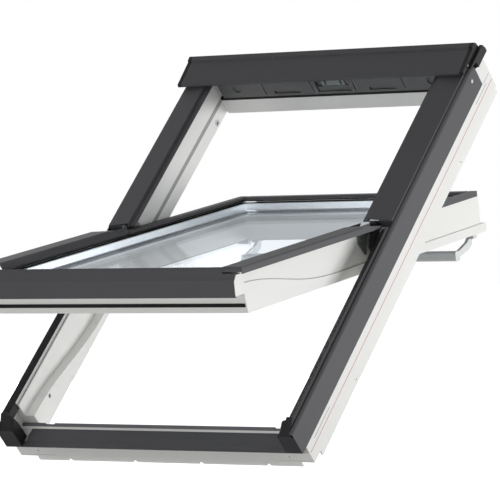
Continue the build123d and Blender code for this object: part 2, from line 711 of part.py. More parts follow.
trim_path = [
    (TRIM_SIDE, 0),
    (TRIM_SIDE, TRIM_OUTER_RISE),
    (TRIM_IN, TRIM_INNER_RISE),
    (TRIM_IN, 0),
]
cover_fold = TRIM_SIDE - COVER_FACE
cover_path = [
    (TRIM_SIDE, 0),
    (TRIM_SIDE, COVER_OUTER_RISE),
    (cover_fold, COVER_INNER_RISE),
    (cover_fold - COVER_RETURN, COVER_LIP_RISE),
    (cover_fold - COVER_RETURN - COVER_LIP, COVER_LIP_RISE),
]
cover_end_wall = [
    (TRIM_SIDE - GAUGE, 0),
    (TRIM_SIDE - GAUGE, COVER_OUTER_RISE - GAUGE),
    (POCKET_FACE + CLAD_JOINT, COVER_OUTER_RISE),
    (POCKET_FACE + CLAD_JOINT, 0),
]
wall_in = SKIN_SIDE - GAUGE
for name, side in BOTH_SIDES:
    outer_arc = shoulder_arc(side, SKIN_ROUND)
    inner_arc = shoulder_arc(side, SKIN_ROUND - GAUGE)
    with BuildPart() as jamb_cladding:
        with BuildSketch(station(FRAME, SKIN_TOP)) as skin_profile:
            with BuildLine():
                Line((side * SKIN_SIDE, -SKIN_DEPTH), outer_arc[0])
                ThreePointArc(*outer_arc)
                Line(outer_arc[-1], inner_arc[-1])
                ThreePointArc(*inner_arc[::-1])
                Polyline(
                    inner_arc[0],
                    (side * wall_in, 0),
                    (side * (TRIM_IN + CLAD_JOINT), 0),
                    (side * (TRIM_IN + CLAD_JOINT), -GAUGE),
                    (side * wall_in, -GAUGE),
                    (side * wall_in, -SKIN_DEPTH),
                    (side * SKIN_SIDE, -SKIN_DEPTH),
                )
            make_face()
        extrude(skin_profile.sketch, amount=SKIN_TOP + SKIN_OVERHANG)
        ledge_end = box_outline(-SKIN_OVERHANG - CUT_OVERRUN, TRIM_START, -CUT_OVERRUN, 0)
        cut_rail(FRAME, ledge_end, side * JAMB_IN, side * wall_in)
    save(jamb_cladding, f"jamb_cladding_{name}")
    jamb_trim = post(FRAME, mirrored(sheet(trim_path), side), TRIM_START, TRIM_END)
    save(jamb_trim, f"jamb_trim_{name}")
    with BuildPart() as jamb_cover:
        add_post(FRAME, mirrored(sheet(cover_path), side), COVER_START, COVER_END)
        add_post(FRAME, mirrored(cover_end_wall, side), COVER_START, COVER_START + GAUGE)
    save(jamb_cover, f"jamb_cover_{name}")

# Moulded corner pieces between the sill cladding, the side skins and the trims
corner_front = CORNER_FRONT - SKIN_OVERHANG
corner_in = CLAD_BOTTOM_HALF + CLAD_JOINT
corner_step = TRIM_IN - CLAD_JOINT
corner_outline = [
    (corner_front, 0),
    (corner_front, CORNER_NOSE),
    (corner_front + CORNER_SLOPE, TRIM_OUTER_RISE + CORNER_LAP),
    (TRIM_START, TRIM_OUTER_RISE + CORNER_LAP),
    (TRIM_START, 0),
]
corner_block = box_outline(corner_front, -CLAD_JOINT, -CORNER_FOOT_DEPTH, CORNER_NOSE)
corner_tongue = box_outline(-CLAD_JOINT, SIDE_CLAD_START, -CORNER_FOOT_DEPTH, CORNER_NOSE)
corner_plate = box_outline(corner_front, corner_front + CORNER_WALL, -CORNER_FOOT_DEPTH, 0)
for name, side in BOTH_SIDES:
    with BuildPart() as sill_corner:
        add_rail(FRAME, corner_block, side * corner_in, side * corner_step)
        add_rail(FRAME, corner_tongue, side * corner_in, side * (corner_in + CORNER_WALL))
        add_rail(FRAME, corner_outline, side * corner_step, side * TRIM_SIDE)
        add_rail(FRAME, corner_plate, side * corner_step, side * (wall_in - CLAD_JOINT))
    save(sill_corner, f"sill_corner_{name}")

# Sill cladding: a folded sheet from the ledge down over the sill's face
sill_fold = [
    (SILL_TOP_UP, -SILL_NOTCH_DEPTH),
    (SILL_TOP_UP, -SILL_TOP_DEPTH),
    (SILL_RIDGE_UP, -SILL_RIDGE_DEPTH),
    (0, -SILL_STEP_DEPTH),
    (GAUGE - SKIN_OVERHANG, -SILL_APRON_DEPTH),
]
with BuildPart() as sill_cladding:
    add_rail(FRAME, sheet(sill_fold), -CLAD_BOTTOM_HALF, CLAD_BOTTOM_HALF)
    shelf = sheet([(-CLAD_JOINT, -SILL_STEP_DEPTH), sill_fold[-1]])
    add_rail(FRAME, shelf, CLAD_JOINT - wall_in, wall_in - CLAD_JOINT)
save(sill_cladding, "sill_cladding")

# Sill gasket on the ledge, cut down near its ends
gasket_front = SILL_WIDTH - SILL_GASKET_WIDTH
gasket_crest = SILL_GASKET_RISE - SILL_LEDGE_DEPTH
sill_gasket_outline = [
    (gasket_front, -SILL_LEDGE_DEPTH),
    (SILL_WIDTH, -SILL_LEDGE_DEPTH),
    (SILL_WIDTH + SILL_GASKET_LEAN, gasket_crest),
    (SILL_WIDTH, gasket_crest + SILL_GASKET_TIP),
    (gasket_front + SILL_GASKET_LEAN, gasket_crest),
]
with BuildPart() as sill_gasket:
    add_rail(FRAME, sill_gasket_outline, -sill_end, sill_end)
    low_edge = SILL_GASKET_NOTCH_RISE - SILL_LEDGE_DEPTH
    gasket_notch = box_outline(0, SILL_WIDTH + CUT_OVERRUN, low_edge, low_edge + CUT_OVERRUN)
    for _, side in BOTH_SIDES:
        notch_end = JAMB_IN - SILL_GASKET_NOTCH_INSET
        cut_rail(FRAME, gasket_notch, side * notch_end, side * (notch_end - SILL_GASKET_NOTCH))
save(sill_gasket, "sill_gasket")

# Hood: a folded sheet with a raised crest, a step and a rolled lower edge
hood_back = FRAME_HEIGHT + GAUGE
hood_path = [
    (hood_back, -HOOD_BACK_DEPTH),
    (hood_back, HOOD_SHOULDER_OUT),
    (HOOD_CREST_UP + HOOD_BEVEL, HOOD_CREST_OUT - HOOD_BEVEL),
    (HOOD_CREST_UP, HOOD_CREST_OUT),
    (HOOD_STEP_UP + HOOD_STEP_RUN, HOOD_STEP_OUT + HOOD_STEP_RISE),
    (HOOD_STEP_UP, HOOD_STEP_OUT),
    (HOOD_LIP_UP + HOOD_ROLL, HOOD_LIP_OUT + HOOD_LIP_RISE + HOOD_ROLL),
    (HOOD_LIP_UP, HOOD_LIP_OUT + HOOD_LIP_RISE),
    (HOOD_LIP_UP, HOOD_LIP_OUT),
    (HOOD_LIP_UP + HOOD_LIP_RETURN, HOOD_LIP_OUT - GAUGE),
]
hood = rail(FRAME, sheet(hood_path), -HOOD_HALF, HOOD_HALF)
save(hood, "hood")

# Hood end caps, moulded to the hood's outline with a low outer flange
cap_foot = SKIN_TOP + CLAD_JOINT
cap_outline = hood_path[1:-1] + [
    (cap_foot, CAP_FOOT_OUT),
    (cap_foot, 0),
    (hood_back, 0),
]
flange_start = FRAME_HEIGHT - CAP_FLANGE_START_GAP
flange_end = FRAME_HEIGHT + CAP_FLANGE_END
flange_outline = [
    (cap_foot, CAP_FLANGE_LOW),
    (cap_foot, CAP_FLANGE_INNER),
    (flange_start, CAP_FLANGE_OUT - GAUGE),
    (flange_start, CAP_FLANGE_OUT),
    (hood_back, CAP_FLANGE_OUT),
    (flange_end, CAP_FLANGE_BEND),
    (flange_end, CAP_FLANGE_LOW),
]
cap_end = HOOD_HALF + CAP_WIDTH
cap_screw_up = FRAME_HEIGHT - CAP_SCREW_GAP
with BuildPart() as cap_screws:
    for _, side in BOTH_SIDES:
        head_end = side * (cap_end + CAP_SCREW_HEAD)
        disc(FRAME, cap_screw_up, CAP_SCREW_OUT, side * cap_end, head_end, CAP_SCREW_RADIUS)
save(cap_screws, "hood_cap_screws")
for name, side in BOTH_SIDES:
    with BuildPart() as hood_cap:
        add_rail(FRAME, cap_outline, side * HOOD_HALF, side * cap_end)
        add_rail(FRAME, flange_outline, side * cap_end, side * (cap_end + CAP_FLANGE))
    save(hood_cap, f"hood_cap_{name}")

# Plugs that close the screw holes in the side skins
plug_up = FRAME_HEIGHT - PLUG_GAP
with BuildPart() as skin_plugs:
    for _, side in BOTH_SIDES:
        disc(FRAME, plug_up, -PLUG_DEPTH, side * SKIN_SIDE, side * (SKIN_SIDE + PLUG_HEAD), PLUG_RADIUS)
save(skin_plugs, "skin_plugs")

# Ventilation housing under the hood, with a latch pocket, seams, dimples and a notched edge
housing_face = HEAD_IN - HOUSING_REACH
housing_outline = [
    (housing_face, -HOUSING_DEPTH),
    (housing_face + HOUSING_WALL, -HOUSING_DEPTH),
    (housing_face + HOUSING_WALL, -HOUSING_BACK_DEPTH),
    (HEAD_IN, -HOUSING_BACK_DEPTH),
    (HEAD_IN, HOUSING_RISE),
    (housing_face + HOUSING_BEVEL, HOUSING_RISE),
    (housing_face, HOUSING_RISE - HOUSING_BEVEL),
]
pocket_floor = housing_face + HOUSING_POCKET_CUT
front_cut = housing_face - CUT_OVERRUN
low_cut = -HOUSING_DEPTH - CUT_OVERRUN
with BuildPart() as vent_housing:
    add_rail(FRAME, housing_outline, -HOUSING_HALF, HOUSING_HALF)
    latch_pocket = box_outline(front_cut, pocket_floor, low_cut, HOUSING_POCKET_RISE)
    cut_rail(FRAME, latch_pocket, -HOUSING_POCKET_HALF, HOUSING_POCKET_HALF)
    seam = box_outline(front_cut, housing_face + HOUSING_SEAM_CUT, low_cut, HOUSING_RISE + CUT_OVERRUN)
    edge_notch = box_outline(front_cut, HEAD_IN, low_cut, HOUSING_NOTCH_RISE - HOUSING_DEPTH)
    for _, side in BOTH_SIDES:
        for place in (HOUSING_SEAM_NEAR, HOUSING_SEAM_FAR):
            cut_rail(FRAME, seam, side * place, side * (place + HOUSING_SEAM_WIDTH))
        notch_end = HOUSING_NOTCH_START + HOUSING_NOTCH_LENGTH
        cut_rail(FRAME, edge_notch, side * HOUSING_NOTCH_START, side * notch_end)
        with BuildSketch(station(FRAME, housing_face + HOUSING_DIMPLE_CUT)) as dimple:
            with Locations((side * (HOUSING_HALF - HOUSING_DIMPLE_INSET), -HOUSING_DIMPLE_DEPTH)):
                Circle(HOUSING_DIMPLE_RADIUS)
        extrude(dimple.sketch, amount=HOUSING_DIMPLE_CUT, mode=Mode.SUBTRACT)
save(vent_housing, "vent_housing")

# Striker plate in the pocket's floor, with two ears that guide the latch
with BuildPart() as latch_striker:
    striker = box_outline(pocket_floor - STRIKER_PLATE, pocket_floor, -HOUSING_BACK_DEPTH, HOUSING_POCKET_RISE)
    add_rail(FRAME, striker, -STRIKER_HALF, STRIKER_HALF)
    ear_face = pocket_floor - STRIKER_PLATE - STRIKER_EAR
    ear = box_outline(ear_face, pocket_floor, -STRIKER_EAR_LOW, 0)
    for _, side in BOTH_SIDES:
        add_rail(FRAME, ear, side * STRIKER_EAR_HALF, side * (STRIKER_EAR_HALF + STRIKER_EAR_WALL))
save(latch_striker, "latch_striker")

# Strip behind and below the housing's edge, and the head gasket under it
strip_outline = [
    (HEAD_IN - STRIP_REACH, -STRIP_DEPTH),
    (HEAD_IN, -STRIP_DEPTH),
    (HEAD_IN, -HOUSING_BACK_DEPTH - STRIP_GAP),
    (HEAD_IN - STRIP_BACK, -HOUSING_BACK_DEPTH - STRIP_GAP),
    (HEAD_IN - STRIP_BACK, -HOUSING_DEPTH - STRIP_GAP),
    (HEAD_IN - STRIP_REACH, -HOUSING_DEPTH - STRIP_GAP),
]
head_strip = rail(FRAME, strip_outline, -HOUSING_HALF, HOUSING_HALF)
save(head_strip, "head_strip")
head_gasket_outline = [
    (HEAD_IN, -HEAD_GASKET_BOTTOM),
    (HEAD_IN, -STRIP_DEPTH),
    (HEAD_IN - HEAD_GASKET_REACH, -STRIP_DEPTH),
    (HEAD_IN - HEAD_GASKET_REACH, HEAD_GASKET_TIP - HEAD_GASKET_BOTTOM),
    (HEAD_IN - HEAD_GASKET_REACH + HEAD_GASKET_TIP, -HEAD_GASKET_BOTTOM),
]
head_gasket = rail(FRAME, head_gasket_outline, CLAD_JOINT - STOP_FACE, STOP_FACE - CLAD_JOINT)
save(head_gasket, "head_gasket")

# Sash stiles: glass rebate inside, a curved step on the outer side below the
# pivot, and a flange on the room side above it
stile_outline = [
    (STILE_IN, -SASH_ROOM_DEPTH),
    (STILE_HALF_SPAN, -SASH_ROOM_DEPTH),
    (STILE_HALF_SPAN, SASH_OUT),
    (GLASS_HALF_SPAN + BEAD_INSET, SASH_OUT),
    (GLASS_HALF_SPAN + BEAD_INSET, -GLASS_BED_DEPTH),
    (STILE_IN, -GLASS_BED_DEPTH),
]
heel_slope = (RAIL_FOOT_UP - RAIL_HEEL_UP) / (SASH_ROOM_DEPTH - RAIL_HEEL_DEPTH)
stile_end = RAIL_HEEL_UP - heel_slope * (RAIL_HEEL_DEPTH + SASH_OUT)
slant_cut = [
    (RAIL_FOOT_UP + heel_slope * CUT_OVERRUN, -SASH_ROOM_DEPTH - CUT_OVERRUN),
    (RAIL_HEEL_UP, -RAIL_HEEL_DEPTH),
    (RAIL_HEEL_UP, SASH_OUT + CUT_OVERRUN),
    (stile_end - CUT_OVERRUN, SASH_OUT + CUT_OVERRUN),
    (stile_end - CUT_OVERRUN, -SASH_ROOM_DEPTH - CUT_OVERRUN),
]
pad_outline = [
    (stile_end, -SASH_ROOM_DEPTH),
    (STILE_PAD_END, -SASH_ROOM_DEPTH),
    (STILE_PAD_END, SASH_OUT),
    (stile_end, SASH_OUT),
]
flange = box_outline(FLANGE_START, STILE_TOP + FLANGE_REACH, -SASH_ROOM_DEPTH, -FLANGE_DEPTH)
for name, side in BOTH_SIDES:
    with BuildPart() as sash_stile:
        add_post(SASH, mirrored(stile_outline, side), stile_end, STILE_TOP)
        add_rail(SASH, pad_outline, side * STILE_HALF_SPAN, side * STILE_SIDE)
        with BuildSketch(section(SASH, side * STILE_SIDE)):
            with BuildLine():
                Spline(
                    (stile_end, -SLINE_START_DEPTH),
                    (REBATE_BEND_END, -SLINE_MID_DEPTH),
                    (STILE_PAD_END, -SLINE_END_DEPTH),
                    tangents=((1, 0), (1, 0)),
                )
                Polyline(
                    (STILE_PAD_END, -SLINE_END_DEPTH),
                    (STILE_PAD_END, -SASH_ROOM_DEPTH),
                    (stile_end, -SASH_ROOM_DEPTH),
                    (stile_end, -SLINE_START_DEPTH),
                )
            make_face()
        extrude(amount=side * STILE_PAD_STEP)
        add_rail(SASH, flange, side * STILE_IN, side * (STILE_HALF_SPAN + FLANGE_WIDTH))
        cut_rail(SASH, slant_cut, side * (STILE_IN - CUT_OVERRUN), side * (STILE_SIDE + CUT_OVERRUN))
    save(sash_stile, f"sash_stile_{name}")

# Bottom rail: a slanted heel that clears the sill, and a nose behind the cladding
bottom_rail_outline = [
    (RAIL_FOOT_UP, -SASH_ROOM_DEPTH),
    (RAIL_HEEL_UP, -RAIL_HEEL_DEPTH),
    (RAIL_HEEL_UP, RAIL_OUT),
    (GLASS_LOW - BEAD_INSET, RAIL_OUT),
    (GLASS_LOW - BEAD_INSET, -GLASS_BED_DEPTH),
    (RAIL_TOP_UP, -GLASS_BED_DEPTH),
    (RAIL_TOP_UP, -SASH_ROOM_DEPTH),
]
nose_outline = [
    (RAIL_HEEL_UP, -NOSE_DEPTH),
    (NOSE_UP, -NOSE_DEPTH),
    (NOSE_UP, -NOSE_BEVEL_DEPTH),
    (NOSE_BEVEL_UP, RAIL_OUT),
    (RAIL_HEEL_UP, RAIL_OUT),
]
nose_end_outline = [(NOSE_END_UP, -NOSE_DEPTH)] + nose_outline[1:-1] + [(NOSE_END_UP, RAIL_OUT)]
with BuildPart() as sash_bottom_rail:
    add_rail(SASH, bottom_rail_outline, -STILE_IN, STILE_IN)
    add_rail(SASH, nose_outline, NOSE_MAIN_GAP - JAMB_IN, JAMB_IN - NOSE_MAIN_GAP)
    for _, side in BOTH_SIDES:
        add_rail(SASH, nose_end_outline, 0, side * (CLAD_BOTTOM_HALF - GAUGE))
save(sash_bottom_rail, "sash_bottom_rail")

# Top rail, with the room-side flange across its end and a pocket for the latch case
top_rail_outline = [
    (STILE_TOP - TOP_RAIL_WIDTH, -SASH_ROOM_DEPTH),
    (STILE_TOP + FLANGE_REACH, -SASH_ROOM_DEPTH),
    (STILE_TOP + FLANGE_REACH, -FLANGE_DEPTH),
    (STILE_TOP, -FLANGE_DEPTH),
    (STILE_TOP, SASH_OUT),
    (GLASS_HIGH + BEAD_INSET, SASH_OUT),
    (GLASS_HIGH + BEAD_INSET, -GLASS_BED_DEPTH),
    (STILE_TOP - TOP_RAIL_WIDTH, -GLASS_BED_DEPTH),
]
case_low = STILE_TOP - LATCH_CASE_WIDTH
with BuildPart() as sash_top_rail:
    add_rail(SASH, top_rail_outline, -STILE_IN, STILE_IN)
    case_pocket = box_outline(case_low, STILE_TOP + CUT_OVERRUN, -LATCH_CASE_DEPTH, SASH_OUT + CUT_OVERRUN)
    cut_rail(SASH, case_pocket, -LATCH_CASE_HALF, LATCH_CASE_HALF)
save(sash_top_rail, "sash_top_rail")

# Glass unit: two panes, a spacer frame and the edge seal round it
pane_outline = box_outline(-GLASS_HALF_SPAN, GLASS_HALF_SPAN, GLASS_LOW, GLASS_HIGH)
outer_pane = plate(SASH, pane_outline, GLASS_OUT - PANE, GLASS_OUT)
save(outer_pane, "outer_pane")
inner_pane = plate(SASH, pane_outline, INNER_PANE_OUT - PANE, INNER_PANE_OUT)
save(inner_pane, "inner_pane")


def glass_ring(inset, width, start, end):
    """A ring round the glass, set in from its edge, between two depths."""
    outer = inset
    inner = inset + width
    with BuildPart() as piece:
        with BuildSketch(SASH.offset(start)):
            for margin, way in ((outer, Mode.ADD), (inner, Mode.SUBTRACT)):
                half = GLASS_HALF_SPAN - margin
                with BuildLine():
                    Polyline(*box_outline(-half, half, GLASS_LOW + margin, GLASS_HIGH - margin), close=True)
                make_face(mode=way)
        extrude(amount=end - start)
    return piece


edge_seal = glass_ring(0, SEAL_WIDTH, INNER_PANE_OUT, GLASS_OUT - PANE)
save(edge_seal, "edge_seal")
spacer = glass_ring(SEAL_WIDTH, SPACER_WIDTH, INNER_PANE_OUT, GLASS_OUT - PANE)
save(spacer, "spacer_frame")
glazing_gasket = glass_ring(BEAD_INSET, BEAD_WIDTH, GLASS_OUT, BEAD_OUT)
save(glazing_gasket, "glazing_gasket")
bed_gasket = glass_ring(BED_INSET, BED_WIDTH, -GLASS_BED_DEPTH, INNER_PANE_OUT - PANE)
save(bed_gasket, "bed_gasket")

# Bottom cladding: stepped brow, tall front face and a short return under the nose
gap_share = (CLAD_GAP_OUT - CLAD_STEP_OUT) / (CLAD_BROW_OUT - CLAD_STEP_OUT)
clad_gap_up = CLAD_STEP_UP + (CLAD_BROW_UP - CLAD_STEP_UP) * gap_share
clad_front_path = [
    (CLAD_STEP_UP, CLAD_STEP_OUT),
    (CLAD_BOTTOM_UP, -CLAD_STEP_DEPTH),
    (CLAD_BOTTOM_UP, -CLAD_BOTTOM_DEPTH),
    (CLAD_BOTTOM_UP + CLAD_RETURN, -CLAD_BOTTOM_DEPTH),
]
clad_top_path = [
    (CLAD_INNER_UP, BEAD_OUT),
    (CLAD_INNER_UP, BEAD_OUT + CLAD_FOOT),
    (CLAD_CREST_UP, CLAD_TOP_OUT),
    (CLAD_BROW_UP, CLAD_BROW_OUT),
]
brow_half = SIDE_CLAD_INNER - CLAD_JOINT
with BuildPart() as sash_bottom_cladding:
    add_rail(SASH, sheet(clad_top_path + clad_front_path), -brow_half, brow_half)
    front_sheet = sheet([(clad_gap_up, CLAD_GAP_OUT)] + clad_front_path)
    add_rail(SASH, front_sheet, -CLAD_BOTTOM_HALF, CLAD_BOTTOM_HALF)
save(sash_bottom_cladding, "sash_bottom_cladding")

# Lower side cladding: a channel that laps the jamb, closed in front and tapered to a tip at the pivot
side_clad_path = [
    (SIDE_CLAD_OUTER, SIDE_CLAD_LOW_OUT),
    (SIDE_CLAD_OUTER, SIDE_CLAD_OUT - SIDE_CLAD_BEVEL),
    (SIDE_CLAD_OUTER - SIDE_CLAD_BEVEL, SIDE_CLAD_OUT),
    (SIDE_CLAD_INNER + SIDE_CLAD_INNER_BEVEL, SIDE_CLAD_OUT),
    (SIDE_CLAD_INNER, SIDE_CLAD_OUT - SIDE_CLAD_INNER_BEVEL),
    (SIDE_CLAD_INNER - CLAD_GLASS_LAP, BEAD_OUT + CLAD_FOOT),
    (SIDE_CLAD_INNER - CLAD_GLASS_LAP, BEAD_OUT),
]
taper_start = SIDE_CLAD_END - SIDE_CLAD_TAPER
taper_fall = SIDE_CLAD_TAPER_DROP / SIDE_CLAD_TAPER
taper_end_out = SIDE_CLAD_OUT - SIDE_CLAD_TAPER_DROP
tip_up = SIDE_CLAD_END + SIDE_CLAD_TIP
tip_out = taper_end_out - taper_fall * SIDE_CLAD_TIP
taper_cut = [
    (taper_start, SIDE_CLAD_OUT),
    (SIDE_CLAD_END, taper_end_out),
    (SIDE_CLAD_END, SIDE_CLAD_OUT),
]
taper_sheet = [
    (taper_start, SIDE_CLAD_OUT),
    (SIDE_CLAD_END, taper_end_out),
    (SIDE_CLAD_END, taper_end_out - GAUGE),
    (taper_start, SIDE_CLAD_OUT - GAUGE),
]
tip_sheet = [
    (SIDE_CLAD_END - GAUGE, taper_end_out + taper_fall * GAUGE),
    (tip_up, tip_out),
    (tip_up, tip_out - GAUGE),
    (SIDE_CLAD_END - GAUGE, taper_end_out + taper_fall * GAUGE - GAUGE),
]
front_lip = box_outline(
    SIDE_CLAD_START, SIDE_CLAD_START + GAUGE, SIDE_CLAD_LIP_OUT, SIDE_CLAD_OUT - SIDE_CLAD_BEVEL
)
for name, side in BOTH_SIDES:
    with BuildPart() as side_cladding:
        add_post(SASH, mirrored(sheet(side_clad_path), side), SIDE_CLAD_START, SIDE_CLAD_END)
        notch = box_outline(-CUT_OVERRUN, CLAD_INNER_UP + CLAD_JOINT, -CUT_OVERRUN, SIDE_CLAD_OUT + CUT_OVERRUN)
        cut_rail(SASH, notch, 0, side * (SIDE_CLAD_INNER + CLAD_JOINT))
        cut_rail(SASH, taper_cut, side * SIDE_CLAD_INNER, side * SIDE_CLAD_OUTER)
        add_rail(SASH, taper_sheet, side * SIDE_CLAD_INNER, side * (SIDE_CLAD_OUTER - GAUGE))
        tip_near = side * (POCKET_FACE + SIDE_CLAD_TIP_GAP)
        add_rail(SASH, tip_sheet, tip_near, side * (SIDE_CLAD_OUTER - GAUGE))
        lip_near = side * (SIDE_CLAD_INNER + SIDE_CLAD_INNER_BEVEL)
        add_rail(SASH, front_lip, lip_near, side * (SIDE_CLAD_OUTER - GAUGE))
    save(side_cladding, f"sash_side_cladding_{name}")

# Upper side cladding and top cladding, which pass under the frame's covers
upper_clad_in = UPPER_CLAD_OUTER - UPPER_CLAD_WIDTH
upper_clad_path = [
    (UPPER_CLAD_OUTER, UPPER_CLAD_LOW_OUT),
    (UPPER_CLAD_OUTER, UPPER_CLAD_OUT),
    (upper_clad_in, UPPER_CLAD_OUT),
    (upper_clad_in - UPPER_CLAD_GLASS_LAP, BEAD_OUT + CLAD_FOOT),
    (upper_clad_in - UPPER_CLAD_GLASS_LAP, BEAD_OUT),
]
top_clad_in = TOP_CLAD_UP - TOP_CLAD_WIDTH
top_clad_path = [
    (TOP_CLAD_UP, UPPER_CLAD_LOW_OUT),
    (TOP_CLAD_UP, UPPER_CLAD_OUT),
    (top_clad_in, UPPER_CLAD_OUT),
    (top_clad_in - UPPER_CLAD_GLASS_LAP, BEAD_OUT + CLAD_FOOT),
    (top_clad_in - UPPER_CLAD_GLASS_LAP, BEAD_OUT),
]
end_plate = box_outline(TOP_CLAD_UP - GAUGE, TOP_CLAD_UP, UPPER_CLAD_LOW_OUT, UPPER_CLAD_OUT)
for name, side in BOTH_SIDES:
    with BuildPart() as upper_cladding:
        add_post(SASH, mirrored(sheet(upper_clad_path), side), UPPER_CLAD_START, TOP_CLAD_UP)
        add_rail(SASH, end_plate, side * upper_clad_in, side * UPPER_CLAD_OUTER)
    save(upper_cladding, f"sash_upper_cladding_{name}")
top_half = upper_clad_in - UPPER_CLAD_GLASS_LAP - CLAD_JOINT
top_cladding = rail(SASH, sheet(top_clad_path), -top_half, top_half)
save(top_cladding, "sash_top_cladding")

# Gasket in the bottom rail's slanted heel
gasket_back = RAIL_HEEL_UP + heel_slope * (SASH_GASKET_DEPTH - RAIL_HEEL_DEPTH)
sash_gasket_outline = [
    (gasket_back, -SASH_GASKET_DEPTH),
    (gasket_back - SASH_GASKET_PROUD, -SASH_GASKET_DEPTH),
    (gasket_back - SASH_GASKET_PROUD, -SASH_GASKET_DEPTH - SASH_GASKET_WIDTH),
    (gasket_back + heel_slope * SASH_GASKET_WIDTH, -SASH_GASKET_DEPTH - SASH_GASKET_WIDTH),
]
sash_gasket_half = STILE_HALF_SPAN + SASH_GASKET_LAP
sash_gasket = rail(SASH, sash_gasket_outline, -sash_gasket_half, sash_gasket_half)
save(sash_gasket, "sash_gasket")

# Pivot hinges: a plate on the sash turns on a pin that stands on the frame's plate
sash_plate_far = STILE_SIDE + HINGE_PLATE
sash_hinge_outline = [
    (PIVOT_UP - HINGE_LOW_GAP, HINGE_LOW_OUT),
    (PIVOT_UP - HINGE_LOW_GAP, -HINGE_SCREW_DEPTH - PIN_EYE),
    (PIVOT_UP - HINGE_TOE_GAP, -HINGE_TOE_DEPTH),
    (STILE_PAD_END, -HINGE_TOE_DEPTH),
    (STILE_PAD_END + PIN_EYE, -HINGE_SCREW_DEPTH),
    (PIVOT_UP - PIN_RADIUS, PIVOT_OUT - PIN_EYE),
    (PIVOT_UP - PIN_EYE, PIVOT_OUT),
    (PIVOT_UP - HINGE_HEEL_GAP, HINGE_LOW_OUT),
]
frame_plate_near = sash_plate_far + HINGE_GAP
frame_hinge_outline = [
    (PIVOT_UP - FRAME_HINGE_LOW_GAP, -FRAME_HINGE_TOP_DEPTH),
    (PIVOT_UP - FRAME_HINGE_LOW_GAP, -FRAME_HINGE_DEPTH),
    (PIVOT_UP + FRAME_HINGE_HIGH_GAP, -FRAME_HINGE_DEPTH),
    (PIVOT_UP + FRAME_HINGE_HIGH_GAP, -FRAME_HINGE_TOP_DEPTH),
    (PIVOT_UP + PIN_EYE, PIVOT_OUT),
    (PIVOT_UP - PIN_EYE, PIVOT_OUT),
]
for name, side in BOTH_SIDES:
    with BuildPart() as hinge_sash:
        add_rail(SASH, sash_hinge_outline, side * STILE_SIDE, side * sash_plate_far)
        disc(SASH, PIVOT_UP, PIVOT_OUT, side * STILE_SIDE, side * sash_plate_far, PIN_EYE)
        drill(SASH, PIVOT_UP, PIVOT_OUT, side * STILE_SIDE, side * sash_plate_far, PIN_RADIUS + PIN_PLAY)
    save(hinge_sash, f"hinge_sash_{name}")
    with BuildPart() as hinge_frame:
        add_rail(FRAME, frame_hinge_outline, side * frame_plate_near, side * POCKET_FACE)
        disc(FRAME, PIVOT_UP, PIVOT_OUT, side * frame_plate_near, side * POCKET_FACE, PIN_EYE)
        disc(FRAME, PIVOT_UP, PIVOT_OUT, side * STILE_SIDE, side * POCKET_FACE, PIN_RADIUS)
    save(hinge_frame, f"hinge_frame_{name}")

# Screws in the sash plates
with BuildPart() as hinge_sash_screws:
    for _, side in BOTH_SIDES:
        for step in (0, HINGE_SCREW_PITCH):
            near = side * sash_plate_far
            far = side * (sash_plate_far + HINGE_GAP - PIN_PLAY)
            disc(SASH, PIVOT_UP - HINGE_SCREW_GAP + step, -HINGE_SCREW_DEPTH, near, far, HINGE_SCREW_RADIUS)
save(hinge_sash_screws, "hinge_sash_screws")

# Control bar: a rounded handle rail with an arm at each end that turns on the brackets
bar_low = BAR_PIVOT_UP - BAR_LOW_GAP
bar_high = BAR_PIVOT_UP - BAR_HIGH_GAP
bar_outline = box_outline(bar_low, bar_high, -BAR_FAR_DEPTH, -BAR_NEAR_DEPTH)
arm_outline = [
    (bar_low + BAR_ROUND, BAR_ROUND - BAR_FAR_DEPTH),
    (BAR_PIVOT_UP - BAR_BEND_GAP, -BAR_BEND_DEPTH),
    (BAR_PIVOT_UP - BAR_SHOULDER_GAP, -BAR_SHOULDER_DEPTH),
    (BAR_PIVOT_UP + BAR_PIN_RADIUS, GAUGE - BAR_PIVOT_DEPTH - BAR_EYE),
    (BAR_PIVOT_UP - BAR_PIN_RADIUS, BAR_PIN_RADIUS - BAR_PIVOT_DEPTH),
    (BAR_PIVOT_UP - BAR_INNER_GAP, -BAR_INNER_DEPTH),
    (bar_high, -BAR_NEAR_DEPTH),
    (bar_low + BAR_ROUND, -BAR_NEAR_DEPTH),
]
with BuildPart() as control_bar:
    with BuildSketch(section(SASH, -BAR_HALF)):
        with BuildLine():
            Polyline(*bar_outline, close=True)
        make_face()
    extrude(amount=BAR_HALF + BAR_HALF)
    fillet(control_bar.edges().filter_by(Axis.X), radius=BAR_ROUND)
    for _, side in BOTH_SIDES:
        arm_start = side * (BAR_HALF - BAR_ARM_WIDTH)
        arm_end = side * BAR_HALF
        add_rail(SASH, arm_outline, arm_start, arm_end)
        disc(SASH, BAR_PIVOT_UP, -BAR_PIVOT_DEPTH, arm_start, arm_end, BAR_EYE)
        drill(SASH, BAR_PIVOT_UP, -BAR_PIVOT_DEPTH, arm_start, arm_end, BAR_PIN_RADIUS + PIN_PLAY)
save(control_bar, "control_bar")

